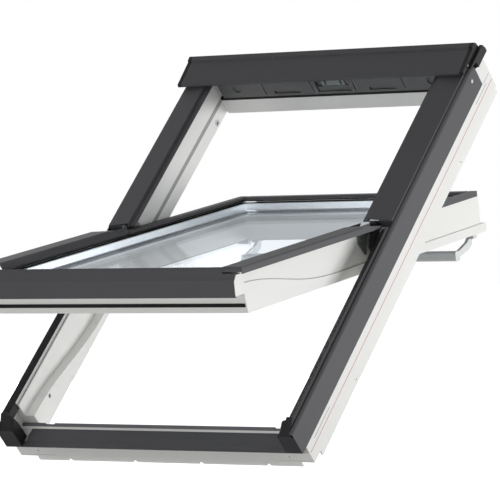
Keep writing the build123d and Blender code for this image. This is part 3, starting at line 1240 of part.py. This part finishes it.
# Brackets on the top rail that hold the bar's pins
bracket_outline = box_outline(
    BAR_PIVOT_UP - BRACKET_BASE, BAR_PIVOT_UP + BAR_EYE, -BAR_PIVOT_DEPTH - BAR_EYE, -SASH_ROOM_DEPTH
)
with BuildPart() as bar_brackets:
    for _, side in BOTH_SIDES:
        near = side * (BAR_HALF + BRACKET_GAP)
        far = side * (BAR_HALF + BRACKET_GAP + BRACKET_WIDTH)
        add_rail(SASH, bracket_outline, near, far)
        pin_end = side * (BAR_HALF - BAR_ARM_WIDTH)
        disc(SASH, BAR_PIVOT_UP, -BAR_PIVOT_DEPTH, pin_end, near, BAR_PIN_RADIUS)
save(bar_brackets, "bar_brackets")

# Ventilation flap: a plate along the top rail, carried by the bar's arms
flap_near = SASH_ROOM_DEPTH + FLAP_GAP
flap_high = BAR_PIVOT_UP - FLAP_HIGH_GAP
flap_outline = box_outline(BAR_PIVOT_UP - FLAP_LOW_GAP, flap_high, -flap_near - FLAP_SHEET, -flap_near)
ear_high = flap_high - FLAP_EAR_REACH
flap_ear = box_outline(ear_high - FLAP_EAR_REACH, ear_high, -BAR_PIVOT_DEPTH - GAUGE, -flap_near)
with BuildPart() as vent_flap:
    add_rail(SASH, flap_outline, -FLAP_HALF, FLAP_HALF)
    for _, side in BOTH_SIDES:
        ear_start = side * (FLAP_HALF - BAR_ARM_WIDTH)
        add_rail(SASH, flap_ear, ear_start, side * (BAR_HALF - BAR_ARM_WIDTH))
save(vent_flap, "vent_flap")

# Latch case in the top rail, and the latch that slides in it
latch_low = LATCH_TOP_DEPTH + LATCH_THICKNESS
case_outline = box_outline(case_low, STILE_TOP, -LATCH_CASE_DEPTH, SASH_OUT)
with BuildPart() as latch_case:
    add_rail(SASH, case_outline, -LATCH_CASE_HALF, LATCH_CASE_HALF)
    channel = box_outline(case_low, STILE_TOP, -latch_low - LATCH_PLAY, LATCH_PLAY - LATCH_TOP_DEPTH)
    cut_rail(SASH, channel, -LATCH_HALF - LATCH_PLAY, LATCH_HALF + LATCH_PLAY)
save(latch_case, "latch_case")
latch_outline = [
    (STILE_TOP - LATCH_TAIL, -latch_low),
    (STILE_TOP + LATCH_TIP - LATCH_THICKNESS / 2, -latch_low),
    (STILE_TOP + LATCH_TIP, -LATCH_TOP_DEPTH - LATCH_THICKNESS / 2),
    (STILE_TOP + LATCH_TIP, -LATCH_TOP_DEPTH),
    (STILE_TOP - LATCH_TAIL, -LATCH_TOP_DEPTH),
]
latch = rail(SASH, latch_outline, -LATCH_HALF, LATCH_HALF)
save(latch, "latch")

# Barrel bolt that holds the sash for cleaning: a case, a bolt with a knob, and its bushes
with BuildPart() as bolt_case:
    case_depth = BOLT_DEPTH + BOLT_CASE_HALF
    body = box_outline(BOLT_UP - BOLT_CASE_HALF, BOLT_UP + BOLT_CASE_HALF, -case_depth, -SASH_ROOM_DEPTH)
    add_rail(SASH, body, -BOLT_CASE_END, -BOLT_CASE_START)
    drill(SASH, BOLT_UP, -BOLT_DEPTH, -BOLT_CASE_END, -BOLT_CASE_START, BOLT_RADIUS + BOLT_PLAY)
    slot_start = BOLT_CASE_START - CUT_OVERRUN
    slot_end = BOLT_CASE_START + BOLT_TRAVEL + BOLT_KNOB_RADIUS + BOLT_SLOT_PLAY
    slot_half = BOLT_KNOB_RADIUS + BOLT_SLOT_PLAY
    slot = box_outline(BOLT_UP - slot_half, BOLT_UP + slot_half, -case_depth - CUT_OVERRUN, -BOLT_DEPTH)
    cut_rail(SASH, slot, -slot_end, -slot_start)
save(bolt_case, "bolt_case")
with BuildPart() as barrel_bolt:
    disc(SASH, BOLT_UP, -BOLT_DEPTH, -BOLT_REACH, BOLT_LENGTH - BOLT_REACH, BOLT_RADIUS)
    knob_place = BOLT_LENGTH - BOLT_REACH - BOLT_KNOB_RADIUS
    knob_far = BOLT_DEPTH + BOLT_RADIUS + BOLT_KNOB_HEIGHT
    with BuildSketch(SASH.offset(-knob_far)):
        with Locations((knob_place, BOLT_UP)):
            Circle(BOLT_KNOB_RADIUS)
    extrude(amount=knob_far - BOLT_DEPTH)
save(barrel_bolt, "barrel_bolt")
with BuildPart() as bolt_bushes:
    disc(FRAME, *bush_places[0], -JAMB_IN, BUSH_RIM - JAMB_IN, BUSH_RIM_RADIUS)
    for up, out in bush_places:
        disc(FRAME, up, out, -JAMB_IN, -JAMB_IN - BUSH_DEPTH, BUSH_RADIUS)
        drill(FRAME, up, out, BUSH_RIM - JAMB_IN, -JAMB_IN - BUSH_DEPTH, BOLT_RADIUS + BUSH_BORE_PLAY)
save(bolt_bushes, "bolt_bushes")
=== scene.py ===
# %% [markdown]
# # A roof window, dressed for the camera
#
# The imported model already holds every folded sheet, seal and hinge at its true size.
# Blender's work is the finish: lacquer, moulded plastic, rubber, glass and metal, the lines
# printed on the frame's sides, a few thin strips, and a plain studio to look at them in.

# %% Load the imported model
import math

import bpy
import numpy as np
from mathutils import Matrix, Vector


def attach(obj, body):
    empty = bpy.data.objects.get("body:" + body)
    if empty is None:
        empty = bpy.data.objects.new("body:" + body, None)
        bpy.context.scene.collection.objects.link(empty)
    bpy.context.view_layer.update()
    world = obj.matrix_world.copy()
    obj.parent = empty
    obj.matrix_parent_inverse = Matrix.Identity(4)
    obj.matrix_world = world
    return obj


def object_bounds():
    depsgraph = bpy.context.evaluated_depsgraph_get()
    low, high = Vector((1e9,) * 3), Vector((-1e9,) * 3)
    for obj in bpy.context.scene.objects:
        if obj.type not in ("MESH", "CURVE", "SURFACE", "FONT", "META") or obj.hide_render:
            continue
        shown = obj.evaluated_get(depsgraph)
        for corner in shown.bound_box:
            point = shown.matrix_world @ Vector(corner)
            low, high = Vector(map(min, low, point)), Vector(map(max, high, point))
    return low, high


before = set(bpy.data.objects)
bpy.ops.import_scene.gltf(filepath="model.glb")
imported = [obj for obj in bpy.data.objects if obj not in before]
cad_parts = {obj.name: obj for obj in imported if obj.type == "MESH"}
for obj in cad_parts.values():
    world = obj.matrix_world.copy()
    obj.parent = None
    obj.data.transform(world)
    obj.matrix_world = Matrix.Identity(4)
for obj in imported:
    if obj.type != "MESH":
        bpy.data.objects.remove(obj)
cad_low, cad_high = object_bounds()

# %% [markdown]
# Places on a leaning window are easiest to give along its own three directions: across,
# up the slope, and out of the room. Two helpers turn such places into the model's frame, one
# for the fixed frame and one for the sash, which stands open. A third makes a mesh from a grid
# of points. A grid is the plainest surface there is, and any strip on the window can be one.

# %% Window directions and a surface grid
MM = 0.001
ROOF_PITCH = math.radians(45)
SEAT_DEPTH = 75 * MM
PIVOT_UP = 605 * MM
PIVOT_OUT = 20.5 * MM
SASH_ANGLE = math.radians(35.7)
UP_SLOPE = np.array([0, math.cos(ROOF_PITCH), math.sin(ROOF_PITCH)])
OUT_OF_ROOM = np.array([0, -math.sin(ROOF_PITCH), math.cos(ROOF_PITCH)])


def window_place(across, up, out):
    """Place = across along X, plus up along the slope, plus out and the seat's depth outward."""
    across, up, out = np.broadcast_arrays(across, up, out)
    sideways = np.stack([across, 0 * across, 0 * across], -1)
    return sideways + up[..., None] * UP_SLOPE + (out + SEAT_DEPTH)[..., None] * OUT_OF_ROOM


def sash_place(across, up, out):
    """A place given on the shut sash, turned about the pivot by the angle at which the sash stands."""
    across, up, out = np.broadcast_arrays(across, up, out)
    up_arm, out_arm = up - PIVOT_UP, out - PIVOT_OUT
    turned_up = PIVOT_UP + up_arm * math.cos(SASH_ANGLE) + out_arm * math.sin(SASH_ANGLE)
    turned_out = PIVOT_OUT - up_arm * math.sin(SASH_ANGLE) + out_arm * math.cos(SASH_ANGLE)
    return window_place(across, turned_up, turned_out)


def surface(name, points, body, material):
    """A grid of points (rows by columns by 3) becomes one mesh of quads that rides on a body."""
    rows, columns = points.shape[:2]
    index = np.arange(rows * columns).reshape(rows, columns)
    quads = np.stack([index[:-1, :-1], index[1:, :-1], index[1:, 1:], index[:-1, 1:]], -1)
    mesh = bpy.data.meshes.new(name)
    mesh.from_pydata(points.reshape(-1, 3).tolist(), [], quads.reshape(-1, 4).tolist())
    mesh.update()
    mesh.materials.append(material)
    piece = bpy.data.objects.new(name, mesh)
    bpy.context.scene.collection.objects.link(piece)
    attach(piece, body)
    return piece


print("slope direction", UP_SLOPE.round(3), "outward", OUT_OF_ROOM.round(3))

# %% [markdown]
# Colours are written as the sRGB hex values a screen shows. Shaders work in linear light, so
# one function converts them. Another adds a node, sets its values and links its inputs, and
# a third starts an empty material. That is all the node building this script needs.

# %% Colour and node helpers


def linear(hex_colour):
    """sRGB to linear: a low straight part, then the power 2.4 above it. Alpha is one."""
    channels = np.array([int(hex_colour[i : i + 2], 16) for i in (1, 3, 5)]) / 255
    low = channels / 12.92
    high = ((channels + 0.055) / 1.055) ** 2.4
    return (*np.where(channels <= 0.04045, low, high), 1.0)


def add_node(tree, kind, inputs=None, **settings):
    """Adds one node: settings are its properties, inputs are values or the sockets that feed it."""
    node = tree.nodes.new(kind)
    for name, value in settings.items():
        setattr(node, name, value)
    for name, value in (inputs or {}).items():
        if isinstance(value, bpy.types.NodeSocket):
            tree.links.new(value, node.inputs[name])
        else:
            node.inputs[name].default_value = value
    return node


def new_material(name):
    """An empty material, its node tree and its output node."""
    material = bpy.data.materials.new(name)
    material.use_nodes = True
    tree = material.node_tree
    tree.nodes.clear()
    return material, tree, add_node(tree, "ShaderNodeOutputMaterial")


print("white in linear light", linear("#efefec"))

# %% [markdown]
# No coat is quite even. Over a hand's length its colour drifts a little, and close up a fine
# grain roughens it, which softens reflections. A picture of a surface could be wrapped round
# each piece, but two noises measured in millimetres fit every piece without unwrapping it.

# %% A grained surface
DRIFT_SIZE = 180 * MM
DRIFT_DETAIL = 3.0
GRAIN_DETAIL = 2.0
GRAIN_RELIEF = 0.35
GLOSS_SPREAD = 0.06
# The Mix node has sockets for several kinds of value in a row. These are its colour ones.
MIX_FIRST, MIX_SECOND, MIX_RESULT = 6, 7, 2


def grained(name, light, dark, grain_mm, roughness, bump_mm, metallic=0.0, ior=1.5):
    """Colour drifts slowly between dark and light, gloss and height follow a grain of a given size."""
    material, tree, output = new_material(name)
    place = add_node(tree, "ShaderNodeTexCoord").outputs["Object"]
    drift_inputs = {"Vector": place, "Scale": 1 / DRIFT_SIZE, "Detail": DRIFT_DETAIL}
    drift = add_node(tree, "ShaderNodeTexNoise", drift_inputs).outputs["Fac"]
    grain_inputs = {"Vector": place, "Scale": 1 / (grain_mm * MM), "Detail": GRAIN_DETAIL}
    grain = add_node(tree, "ShaderNodeTexNoise", grain_inputs).outputs["Fac"]
    shades = {"Factor": drift, MIX_FIRST: linear(dark), MIX_SECOND: linear(light)}
    colour = add_node(tree, "ShaderNodeMix", shades, data_type="RGBA").outputs[MIX_RESULT]
    gloss_range = {"Value": grain, "To Min": roughness - GLOSS_SPREAD, "To Max": roughness + GLOSS_SPREAD}
    gloss = add_node(tree, "ShaderNodeMapRange", gloss_range).outputs["Result"]
    height = {"Height": grain, "Strength": GRAIN_RELIEF, "Distance": bump_mm * MM}
    relief = add_node(tree, "ShaderNodeBump", height).outputs["Normal"]
    finish = {"Base Color": colour, "Roughness": gloss, "Normal": relief, "Metallic": metallic, "IOR": ior}
    shader = add_node(tree, "ShaderNodeBsdfPrincipled", finish)
    tree.links.new(shader.outputs["BSDF"], output.inputs["Surface"])
    return material


print("colour drifts over", round(DRIFT_SIZE / MM), "mm")

# %% [markdown]
# The frame and sash are timber sealed in white polyurethane, and the cladding is aluminium sheet
# with a dark lacquer. Seals are rubber, and corner pieces and housings are moulded plastic. They
# differ in colour, grain and gloss alone, so one function makes them all. Each line gives two
# near shades, the grain in millimetres, the roughness and the height of the grain in millimetres.
# The lacquer's real grain of 0.3 mm would be lost at this distance, so it is drawn at 1.5 mm.

# %% Coated, moulded and rubber materials
# Sealed timber looks smooth and faintly glossy, in one even white.
white_polyurethane = grained("white_polyurethane", "#f1f1ee", "#ebebe8", 2.5, 0.34, 0.02)
# Satin lacquer gives wide soft reflections. Its low IOR keeps them weak beside the dark colour.
grey_lacquer = grained("grey_lacquered_aluminium", "#565659", "#525255", 1.5, 0.5, 0.03, ior=1.25)
trim_lacquer = grained("black_lacquered_aluminium", "#28282a", "#242426", 1.5, 0.5, 0.03, ior=1.25)
# Moulded plastic with a fine texture looks dull, and pale plastic a little smoother.
dark_moulding = grained("dark_moulded_plastic", "#232325", "#1e1e20", 1.2, 0.55, 0.05, ior=1.25)
housing_plastic = grained("grey_moulded_plastic", "#5a5a5b", "#505051", 1.2, 0.52, 0.05)
pale_plastic = grained("pale_moulded_plastic", "#d2d4d6", "#c8cacc", 1.2, 0.45, 0.03)
# Rubber is matt: black round the glass, the sash and the head, grey at the sill and the jambs.
seal_rubber = grained("black_seal_rubber", "#0e0e0f", "#0a0a0b", 0.9, 0.75, 0.04, ior=1.3)
sill_rubber = grained("dark_grey_rubber", "#66666a", "#5c5c60", 0.9, 0.6, 0.04)
pale_rubber = grained("pale_grey_rubber", "#a2a2a0", "#989896", 0.9, 0.6, 0.04)
print("coated materials ready")

# %% [markdown]
# Metal parts differ by how they were finished. A bare or plated metal has no colour but that of
# its reflection. An oxide or a coat hides most of that, so those finishes are only partly metal,
# or not at all where the coat is thick. The same function serves, with a share of metal for each.

# %% Metal materials
# Anodised aluminium is pale with a soft sheen, and the strip under the hood is dull and dark.
anodised_aluminium = grained("anodised_aluminium", "#c2c5c5", "#b8bbbb", 1.0, 0.45, 0.01, metallic=0.3)
strip_metal = grained("dull_aluminium_strip", "#5c5c5b", "#545453", 1.0, 0.5, 0.01, metallic=0.2)
# The bare spacer between the panes and zinc plated steel are mirrors with a blurred image.
spacer_metal = grained("mill_aluminium", "#f2f5f8", "#eaeef2", 1.0, 0.35, 0.01, metallic=1.0)
zinc_steel = grained("zinc_plated_steel", "#b5b8ba", "#a4a7aa", 1.4, 0.32, 0.02, metallic=1.0)
# Blackened steel is a cloudy grey, and steel under a black coat is darker and dull.
dark_steel = grained("blackened_steel", "#7a7f7f", "#6a6f6f", 1.4, 0.38, 0.03, metallic=0.3)
black_steel = grained("black_coated_steel", "#2c2e2f", "#262829", 1.4, 0.5, 0.03, ior=1.25)
print("metal materials ready")

# %% [markdown]
# Float glass is almost all view: it tints what lies behind it a faint blue and returns a few
# parts in a hundred of the room. A transparent shader and a mirror mixed at that small share say
# just this, and lamplight passes as well. The inner pane carries the coating that keeps heat in,
# so its share of mirror is larger.

# %% Glass
GLASS_TINT = "#fdfeff"
MIRROR_TINT = "#f2f5f8"
MIRROR_ROUGHNESS = 0.03
CLEAR_SHARE = 0.03
COATED_SHARE = 0.17


def float_glass(name, mirror_share):
    """View = tint times what lies behind, mixed with a small even share of mirror."""
    material, tree, output = new_material(name)
    film = add_node(tree, "ShaderNodeBsdfTransparent", {"Color": linear(GLASS_TINT)})
    gloss = {"Color": linear(MIRROR_TINT), "Roughness": MIRROR_ROUGHNESS}
    mirror = add_node(tree, "ShaderNodeBsdfGlossy", gloss)
    layers = {"Fac": mirror_share, 1: film.outputs["BSDF"], 2: mirror.outputs["BSDF"]}
    mixed = add_node(tree, "ShaderNodeMixShader", layers)
    tree.links.new(mixed.outputs["Shader"], output.inputs["Surface"])
    return material


clear_glass = float_glass("clear_float_glass", CLEAR_SHARE)
coated_glass = float_glass("coated_float_glass", COATED_SHARE)
print("glass ready")

# %% [markdown]
# Each node of the model gets the finish that its real piece has. A table from the start of a
# node's name to a material is enough. The first entry that fits wins, and the empty one at the
# end takes what is left, which is lacquered sheet.

# %% Finishes for the model's own pieces
FINISHES = (
    ("hinge_sash_screws", zinc_steel),
    ("hinge_frame", black_steel),
    ("hinge_", dark_steel),
    ("hood_cap_screws", zinc_steel),
    ("hood_cap", dark_moulding),
    ("sill_corner", dark_moulding),
    ("vent_housing", housing_plastic),
    ("head_strip", strip_metal),
    ("jamb_trim", trim_lacquer),
    ("latch_case", dark_steel),
    ("latch_striker", dark_steel),
    ("latch", zinc_steel),
    ("barrel_bolt", zinc_steel),
    ("control_bar", anodised_aluminium),
    ("vent_flap", anodised_aluminium),
    ("bar_brackets", pale_plastic),
    ("bolt_", pale_plastic),
    ("skin_plugs", pale_plastic),
    ("spacer_frame", spacer_metal),
    ("edge_seal", seal_rubber),
    ("outer_pane", clear_glass),
    ("inner_pane", coated_glass),
    ("frame_", white_polyurethane),
    ("sash_stile", white_polyurethane),
    ("sash_bottom_rail", white_polyurethane),
    ("sash_top_rail", white_polyurethane),
    ("sash_gasket", seal_rubber),
    ("sill_gasket", sill_rubber),
    ("jamb_seals", pale_rubber),
    ("head_gasket", seal_rubber),
    ("glazing_gasket", seal_rubber),
    ("bed_gasket", seal_rubber),
    ("", grey_lacquer),
)
for node_name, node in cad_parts.items():
    finish = next(material for start, material in FINISHES if node_name.startswith(start))
    node.data.materials.clear()
    node.data.materials.append(finish)
print("finishes given to", len(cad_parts), "nodes")

# %% [markdown]
# A fine red line runs down the white side of each jamb and shows the fitter how deep the frame
# goes into the roof. Shorter blue and grey lines mark other settings near the two ends. They are
# printed on. A picture could carry them, but a strip of quads a hair's breadth above the surface
# stays sharp from any distance and can be placed to the millimetre.

# %% Printed lines on the jambs
red_print = grained("red_print", "#c25a58", "#bc5251", 2.0, 0.5, 0.01)
blue_print = grained("blue_print", "#8f9bd6", "#8793cf", 2.0, 0.5, 0.01)
grey_print = grained("grey_print", "#6d6e72", "#65666a", 2.0, 0.5, 0.01)
PRINT_HEIGHT = 0.12 * MM
JAMB_SIDE = 390 * MM
LINE_STEPS = 24
SIDES = (("left", -1), ("right", 1))
# Each line has a name, its two ends up the slope, its place out of the room, its width and its ink.
SIDE_LINES = (
    ("installation_line", 4 * MM, 1176 * MM, -74 * MM, 1.6 * MM, red_print),
    ("upper_blue_line", 1141 * MM, 1176 * MM, -54 * MM, 1.4 * MM, blue_print),
    ("upper_grey_line", 1077 * MM, 1150 * MM, -63 * MM, 1.2 * MM, grey_print),
    ("lower_grey_line", 37 * MM, 128 * MM, -63 * MM, 1.2 * MM, grey_print),
)


def side_line(name, side, start, end, out, width, ink):
    """A strip on the jamb's side: up runs from start to end, out runs across the line's width."""
    edges = out + width * np.array([-0.5, 0.5])
    up, depth = np.meshgrid(np.linspace(start, end, LINE_STEPS), edges, indexing="ij")
    points = window_place(side * (JAMB_SIDE + PRINT_HEIGHT), up, depth)
    surface(name, points[:, ::side], "frame", ink)


for side_name, side in SIDES:
    for line_name, start, end, out, width, ink in SIDE_LINES:
        side_line(f"{line_name}_{side_name}", side, start, end, out, width, ink)
print("lines printed", len(SIDES) * len(SIDE_LINES))

# %% [markdown]
# A few thin strips lie on the frame and the sash. A pale grey strip covers the trim's inner wall,
# a grey line of painted shade follows the curved edge on the sides of the sash, and a dark line
# of painted shade edges the glass on the room side. Each lies between two lines, so one function
# makes all three. The grey line's curve is level at both ends and smooth at its middle point, so
# its slope there comes from the two rises beside it.

# %% Strips on the frame and the sash
# A pale grey strip covers the inner wall of the dark trim.
pale_band = grained("pale_trim_band", "#c8c8c6", "#c0c0be", 1.2, 0.45, 0.02)
# Painted shade: a dark grey line along the room-side edge of the stile's inner face.
painted_edge_shade = grained("grey_painted_edge_shade", "#70747c", "#6a6e76", 1.2, 0.5, 0.02)
# Painted shade: a grey line along the curved edge on the sash's sides, where a groove's shade falls.
painted_groove_shade = grained("grey_painted_groove_shade", "#8f8f8c", "#878784", 1.2, 0.5, 0.02)
STRIP_STEPS = 48
BAND_ACROSS, BAND_START, BAND_END = 369.85 * MM, 52 * MM, 585 * MM
BAND_LOW, BAND_HIGH = 0.5 * MM, 19 * MM
GROOVE_SHADE_ACROSS, GROOVE_SHADE_HALF = 334.72 * MM, 0.9 * MM
GROOVE_SHADE_KNOTS = np.array([63, 326, 572]) * MM
GROOVE_SHADE_HEIGHTS = np.array([-17, -55, -61]) * MM
EDGE_ACROSS, EDGE_START, EDGE_END = 283.9 * MM, 110 * MM, 1049 * MM
EDGE_LOW, EDGE_HIGH = -83.4 * MM, -81.9 * MM


def strip(name, place, across, facing, up, low, high, body, material):
    """Out = low + share x (high - low) at each step up. Facing is 1 to the right and -1 to the left."""
    share = np.array([0.0, 1.0])
    out = low[:, None] + (high - low)[:, None] * share
    points = place(across, up[:, None] + 0 * share, out)
    surface(name, points[:, ::facing], body, material)


def level_ended_curve(x, knots, heights):
    """Two cubics through three points: slope zero at both ends, and one shared slope between."""
    first, second = np.diff(knots)
    rise_first, rise_second = np.diff(heights)
    bend = 1.5 * (rise_first / first**2 + rise_second / second**2) / (1 / first + 1 / second)
    t, s = (x - knots[0]) / first, (x - knots[1]) / second
    lower = heights[0] + rise_first * (3 * t**2 - 2 * t**3) + bend * first * (t**3 - t**2)
    upper = heights[1] + rise_second * (3 * s**2 - 2 * s**3) + bend * second * (s**3 - 2 * s**2 + s)
    return np.where(x < knots[1], lower, upper)


band_up = np.linspace(BAND_START, BAND_END, STRIP_STEPS)
groove_shade_up = np.linspace(GROOVE_SHADE_KNOTS[0], GROOVE_SHADE_KNOTS[2], STRIP_STEPS)
groove_shade_out = level_ended_curve(groove_shade_up, GROOVE_SHADE_KNOTS, GROOVE_SHADE_HEIGHTS)
edge_up = np.linspace(EDGE_START, EDGE_END, STRIP_STEPS)
level = np.ones(STRIP_STEPS)
for side_name, side in SIDES:
    # The pale strip and the dark painted shade line face the window's middle, and the grey painted shade
    # line faces away from it.
    strip(
        f"trim_band_{side_name}", window_place, side * BAND_ACROSS, -side, band_up,
        BAND_LOW * level, BAND_HIGH * level, "frame", pale_band,
    )
    strip(
        f"stile_groove_shade_{side_name}", sash_place, side * GROOVE_SHADE_ACROSS, side, groove_shade_up,
        groove_shade_out - GROOVE_SHADE_HALF, groove_shade_out + GROOVE_SHADE_HALF, "sash", painted_groove_shade,
    )
    strip(
        f"stile_edge_{side_name}", sash_place, side * EDGE_ACROSS, -side, edge_up,
        EDGE_LOW * level, EDGE_HIGH * level, "sash", painted_edge_shade,
    )
print("strips laid", 3 * len(SIDES), "groove shade line drops", round((groove_shade_out[0] - groove_shade_out[-1]) / MM, 1), "mm")

# %% [markdown]
# Each moulded corner piece swells between its upright tab and its flat block. A modifier could
# round the solid's edge, but the swelling follows the tab's slope at one side and sinks to the
# block at the other, so its height is a formula. A root in it makes the form round over rather
# than fall straight. The last line of points drops down as the swelling's back wall.

# %% Rounded corner pieces
SWELL_STEPS = 16
SWELL_TAB, SWELL_BLOCK = 369.4 * MM, 351 * MM
SWELL_FRONT, SWELL_BACK = -20.3 * MM, 8 * MM
SWELL_NOSE, SWELL_SLOPE, SWELL_FOOT = 3.1 * MM, 0.78, -46 * MM


def corner_swell(name, side):
    """Height = nose + slope x distance from the front x root of (1 - share across squared)."""
    share_across = np.linspace(0, 1, SWELL_STEPS)
    share, up = np.meshgrid(share_across, np.linspace(SWELL_FRONT, SWELL_BACK, SWELL_STEPS), indexing="ij")
    out = SWELL_NOSE + SWELL_SLOPE * (up - SWELL_FRONT) * np.sqrt(1 - share**2)
    wall = np.full((SWELL_STEPS, 1), SWELL_FOOT)
    across = SWELL_TAB + (SWELL_BLOCK - SWELL_TAB) * np.hstack([share, share[:, -1:]])
    points = window_place(side * across, np.hstack([up, up[:, -1:]]), np.hstack([out, wall]))
    piece = surface(name, points[::side], "frame", dark_moulding)
    piece.data.shade_smooth()


for side_name, side in SIDES:
    corner_swell(f"corner_swell_{side_name}", side)
print("corner pieces rounded", len(SIDES))

# %% [markdown]
# The studio is plain: a pale floor under the window and white all round. The floor glows for the
# rays that come from the camera, straight, by a reflection or through glass, so it reads as white
# in all three and still takes the window's shadow. Brighter lamps would whiten it as well, but
# they would bleach the window too.

# %% Floor
scene = bpy.context.scene
FLOOR_HALF = 30.0
FLOOR_DROP = 2 * MM
FLOOR_GLOW = 0.9
floor_height = cad_low[2] - FLOOR_DROP


def camera_sees(tree):
    """One for rays that the camera sends out, straight or by a mirror or glass, zero for the rest."""
    path = add_node(tree, "ShaderNodeLightPath").outputs
    mirrored = {0: path["Is Camera Ray"], 1: path["Is Glossy Ray"]}
    seen = add_node(tree, "ShaderNodeMath", mirrored, operation="ADD", use_clamp=True).outputs[0]
    through = {0: seen, 1: path["Is Transmission Ray"]}
    return add_node(tree, "ShaderNodeMath", through, operation="ADD", use_clamp=True).outputs[0]


floor_material, floor_tree, floor_output = new_material("pale_floor")
floor_paint = add_node(floor_tree, "ShaderNodeBsdfDiffuse", {"Color": linear("#d8d8d8")})
glow_inputs = {0: camera_sees(floor_tree), 1: FLOOR_GLOW}
glow_share = add_node(floor_tree, "ShaderNodeMath", glow_inputs, operation="MULTIPLY").outputs[0]
floor_glow = add_node(
    floor_tree, "ShaderNodeEmission", {"Color": linear("#ffffff"), "Strength": glow_share}
)
floor_layers = {0: floor_paint.outputs["BSDF"], 1: floor_glow.outputs["Emission"]}
floor_sum = add_node(floor_tree, "ShaderNodeAddShader", floor_layers)
floor_tree.links.new(floor_sum.outputs["Shader"], floor_output.inputs["Surface"])
floor_mesh = bpy.data.meshes.new("floor")
floor_corners = FLOOR_HALF * np.array([[-1, -1, 0], [1, -1, 0], [1, 1, 0], [-1, 1, 0]])
floor_corners[:, 2] = floor_height
floor_mesh.from_pydata(floor_corners.tolist(), [], [(0, 1, 2, 3)])
floor_mesh.materials.append(floor_material)
floor = bpy.data.objects.new("floor", floor_mesh)
scene.collection.objects.link(floor)
print("floor at", round(floor_height, 4))

# %% [markdown]
# The world round the window is white for the same rays and gives a low even light to the others.
# Three lamps do the modelling: a wide low one to the right and a little behind, which lifts the
# side faces above the top ones, its twin behind and to the left, and a weaker one low in front,
# which reaches under the sill. Wide lamps throw soft shadows, as a bright room would.

# %% World and lamps
WORLD_LIGHT = 0.26
WINDOW_MIDDLE = (0, 0.42, 0.45)
# Each lamp has a name, its place, its width and height in metres, and its power in watts.
LAMPS = (
    ("side_lamp", (3.8, 2.4, 0.45), 3.0, 0.9, 102),
    ("back_lamp", (-3.6, 3.4, 0.5), 3.0, 0.9, 130),
    ("front_lamp", (0.2, -3.2, 0.1), 3.5, 0.24, 36),
)
world = bpy.data.worlds.new("studio")
scene.world = world
world.use_nodes = True
world_tree = world.node_tree
world_tree.nodes.clear()
light_range = {"Value": camera_sees(world_tree), "To Min": WORLD_LIGHT, "To Max": 1.0}
strength = add_node(world_tree, "ShaderNodeMapRange", light_range).outputs["Result"]
white = {"Color": linear("#ffffff"), "Strength": strength}
backdrop = add_node(world_tree, "ShaderNodeBackground", white).outputs["Background"]
add_node(world_tree, "ShaderNodeOutputWorld", {"Surface": backdrop})


def soft_lamp(name, place, width, height, power):
    """A rectangular area lamp at a place, turned to face the window's middle."""
    lamp = bpy.data.lights.new(name, "AREA")
    lamp.shape = "RECTANGLE"
    lamp.size = width
    lamp.size_y = height
    lamp.energy = power
    holder = bpy.data.objects.new(name, lamp)
    holder.location = place
    holder.rotation_euler = (Vector(WINDOW_MIDDLE) - Vector(place)).to_track_quat("-Z", "Y").to_euler()
    scene.collection.objects.link(holder)


for lamp_name, place, width, height, power in LAMPS:
    soft_lamp(lamp_name, place, width, height, power)
scene.view_settings.view_transform = "Standard"
print("lamps hung", len(LAMPS))

# %% [markdown]
# The photograph was taken with a long lens from the right, level with the middle of the window.
# A camera could be aimed by a constraint, but a matrix says the same in one place. A camera's own
# axes are right, up and backwards, so two turns stand it upright and point it at the window, and
# a small roll about the line of sight finishes it.

# %% Camera
CAMERA_PLACE = Vector((4.2884, -6.3146, 0.4404))
CAMERA_AZIMUTH = math.radians(32.64)
CAMERA_RISE = math.radians(0.007)
CAMERA_ROLL = math.radians(0.79)
CAMERA_REACH = 100.0
IMAGE_SIDE = 500
FOCAL_PIXELS = 3467
SENSOR = 36.0
lens = bpy.data.cameras.new("camera")
lens.sensor_width = SENSOR
lens.lens = FOCAL_PIXELS * SENSOR / IMAGE_SIDE
lens.clip_end = CAMERA_REACH
camera = bpy.data.objects.new("camera", lens)
upright = Matrix.Rotation(CAMERA_AZIMUTH, 4, "Z") @ Matrix.Rotation(math.pi / 2 - CAMERA_RISE, 4, "X")
camera.matrix_world = Matrix.Translation(CAMERA_PLACE) @ upright @ Matrix.Rotation(-CAMERA_ROLL, 4, "Z")
scene.collection.objects.link(camera)
scene.camera = camera
print("camera right", [round(x, 4) for x in camera.matrix_world.col[0][:3]])
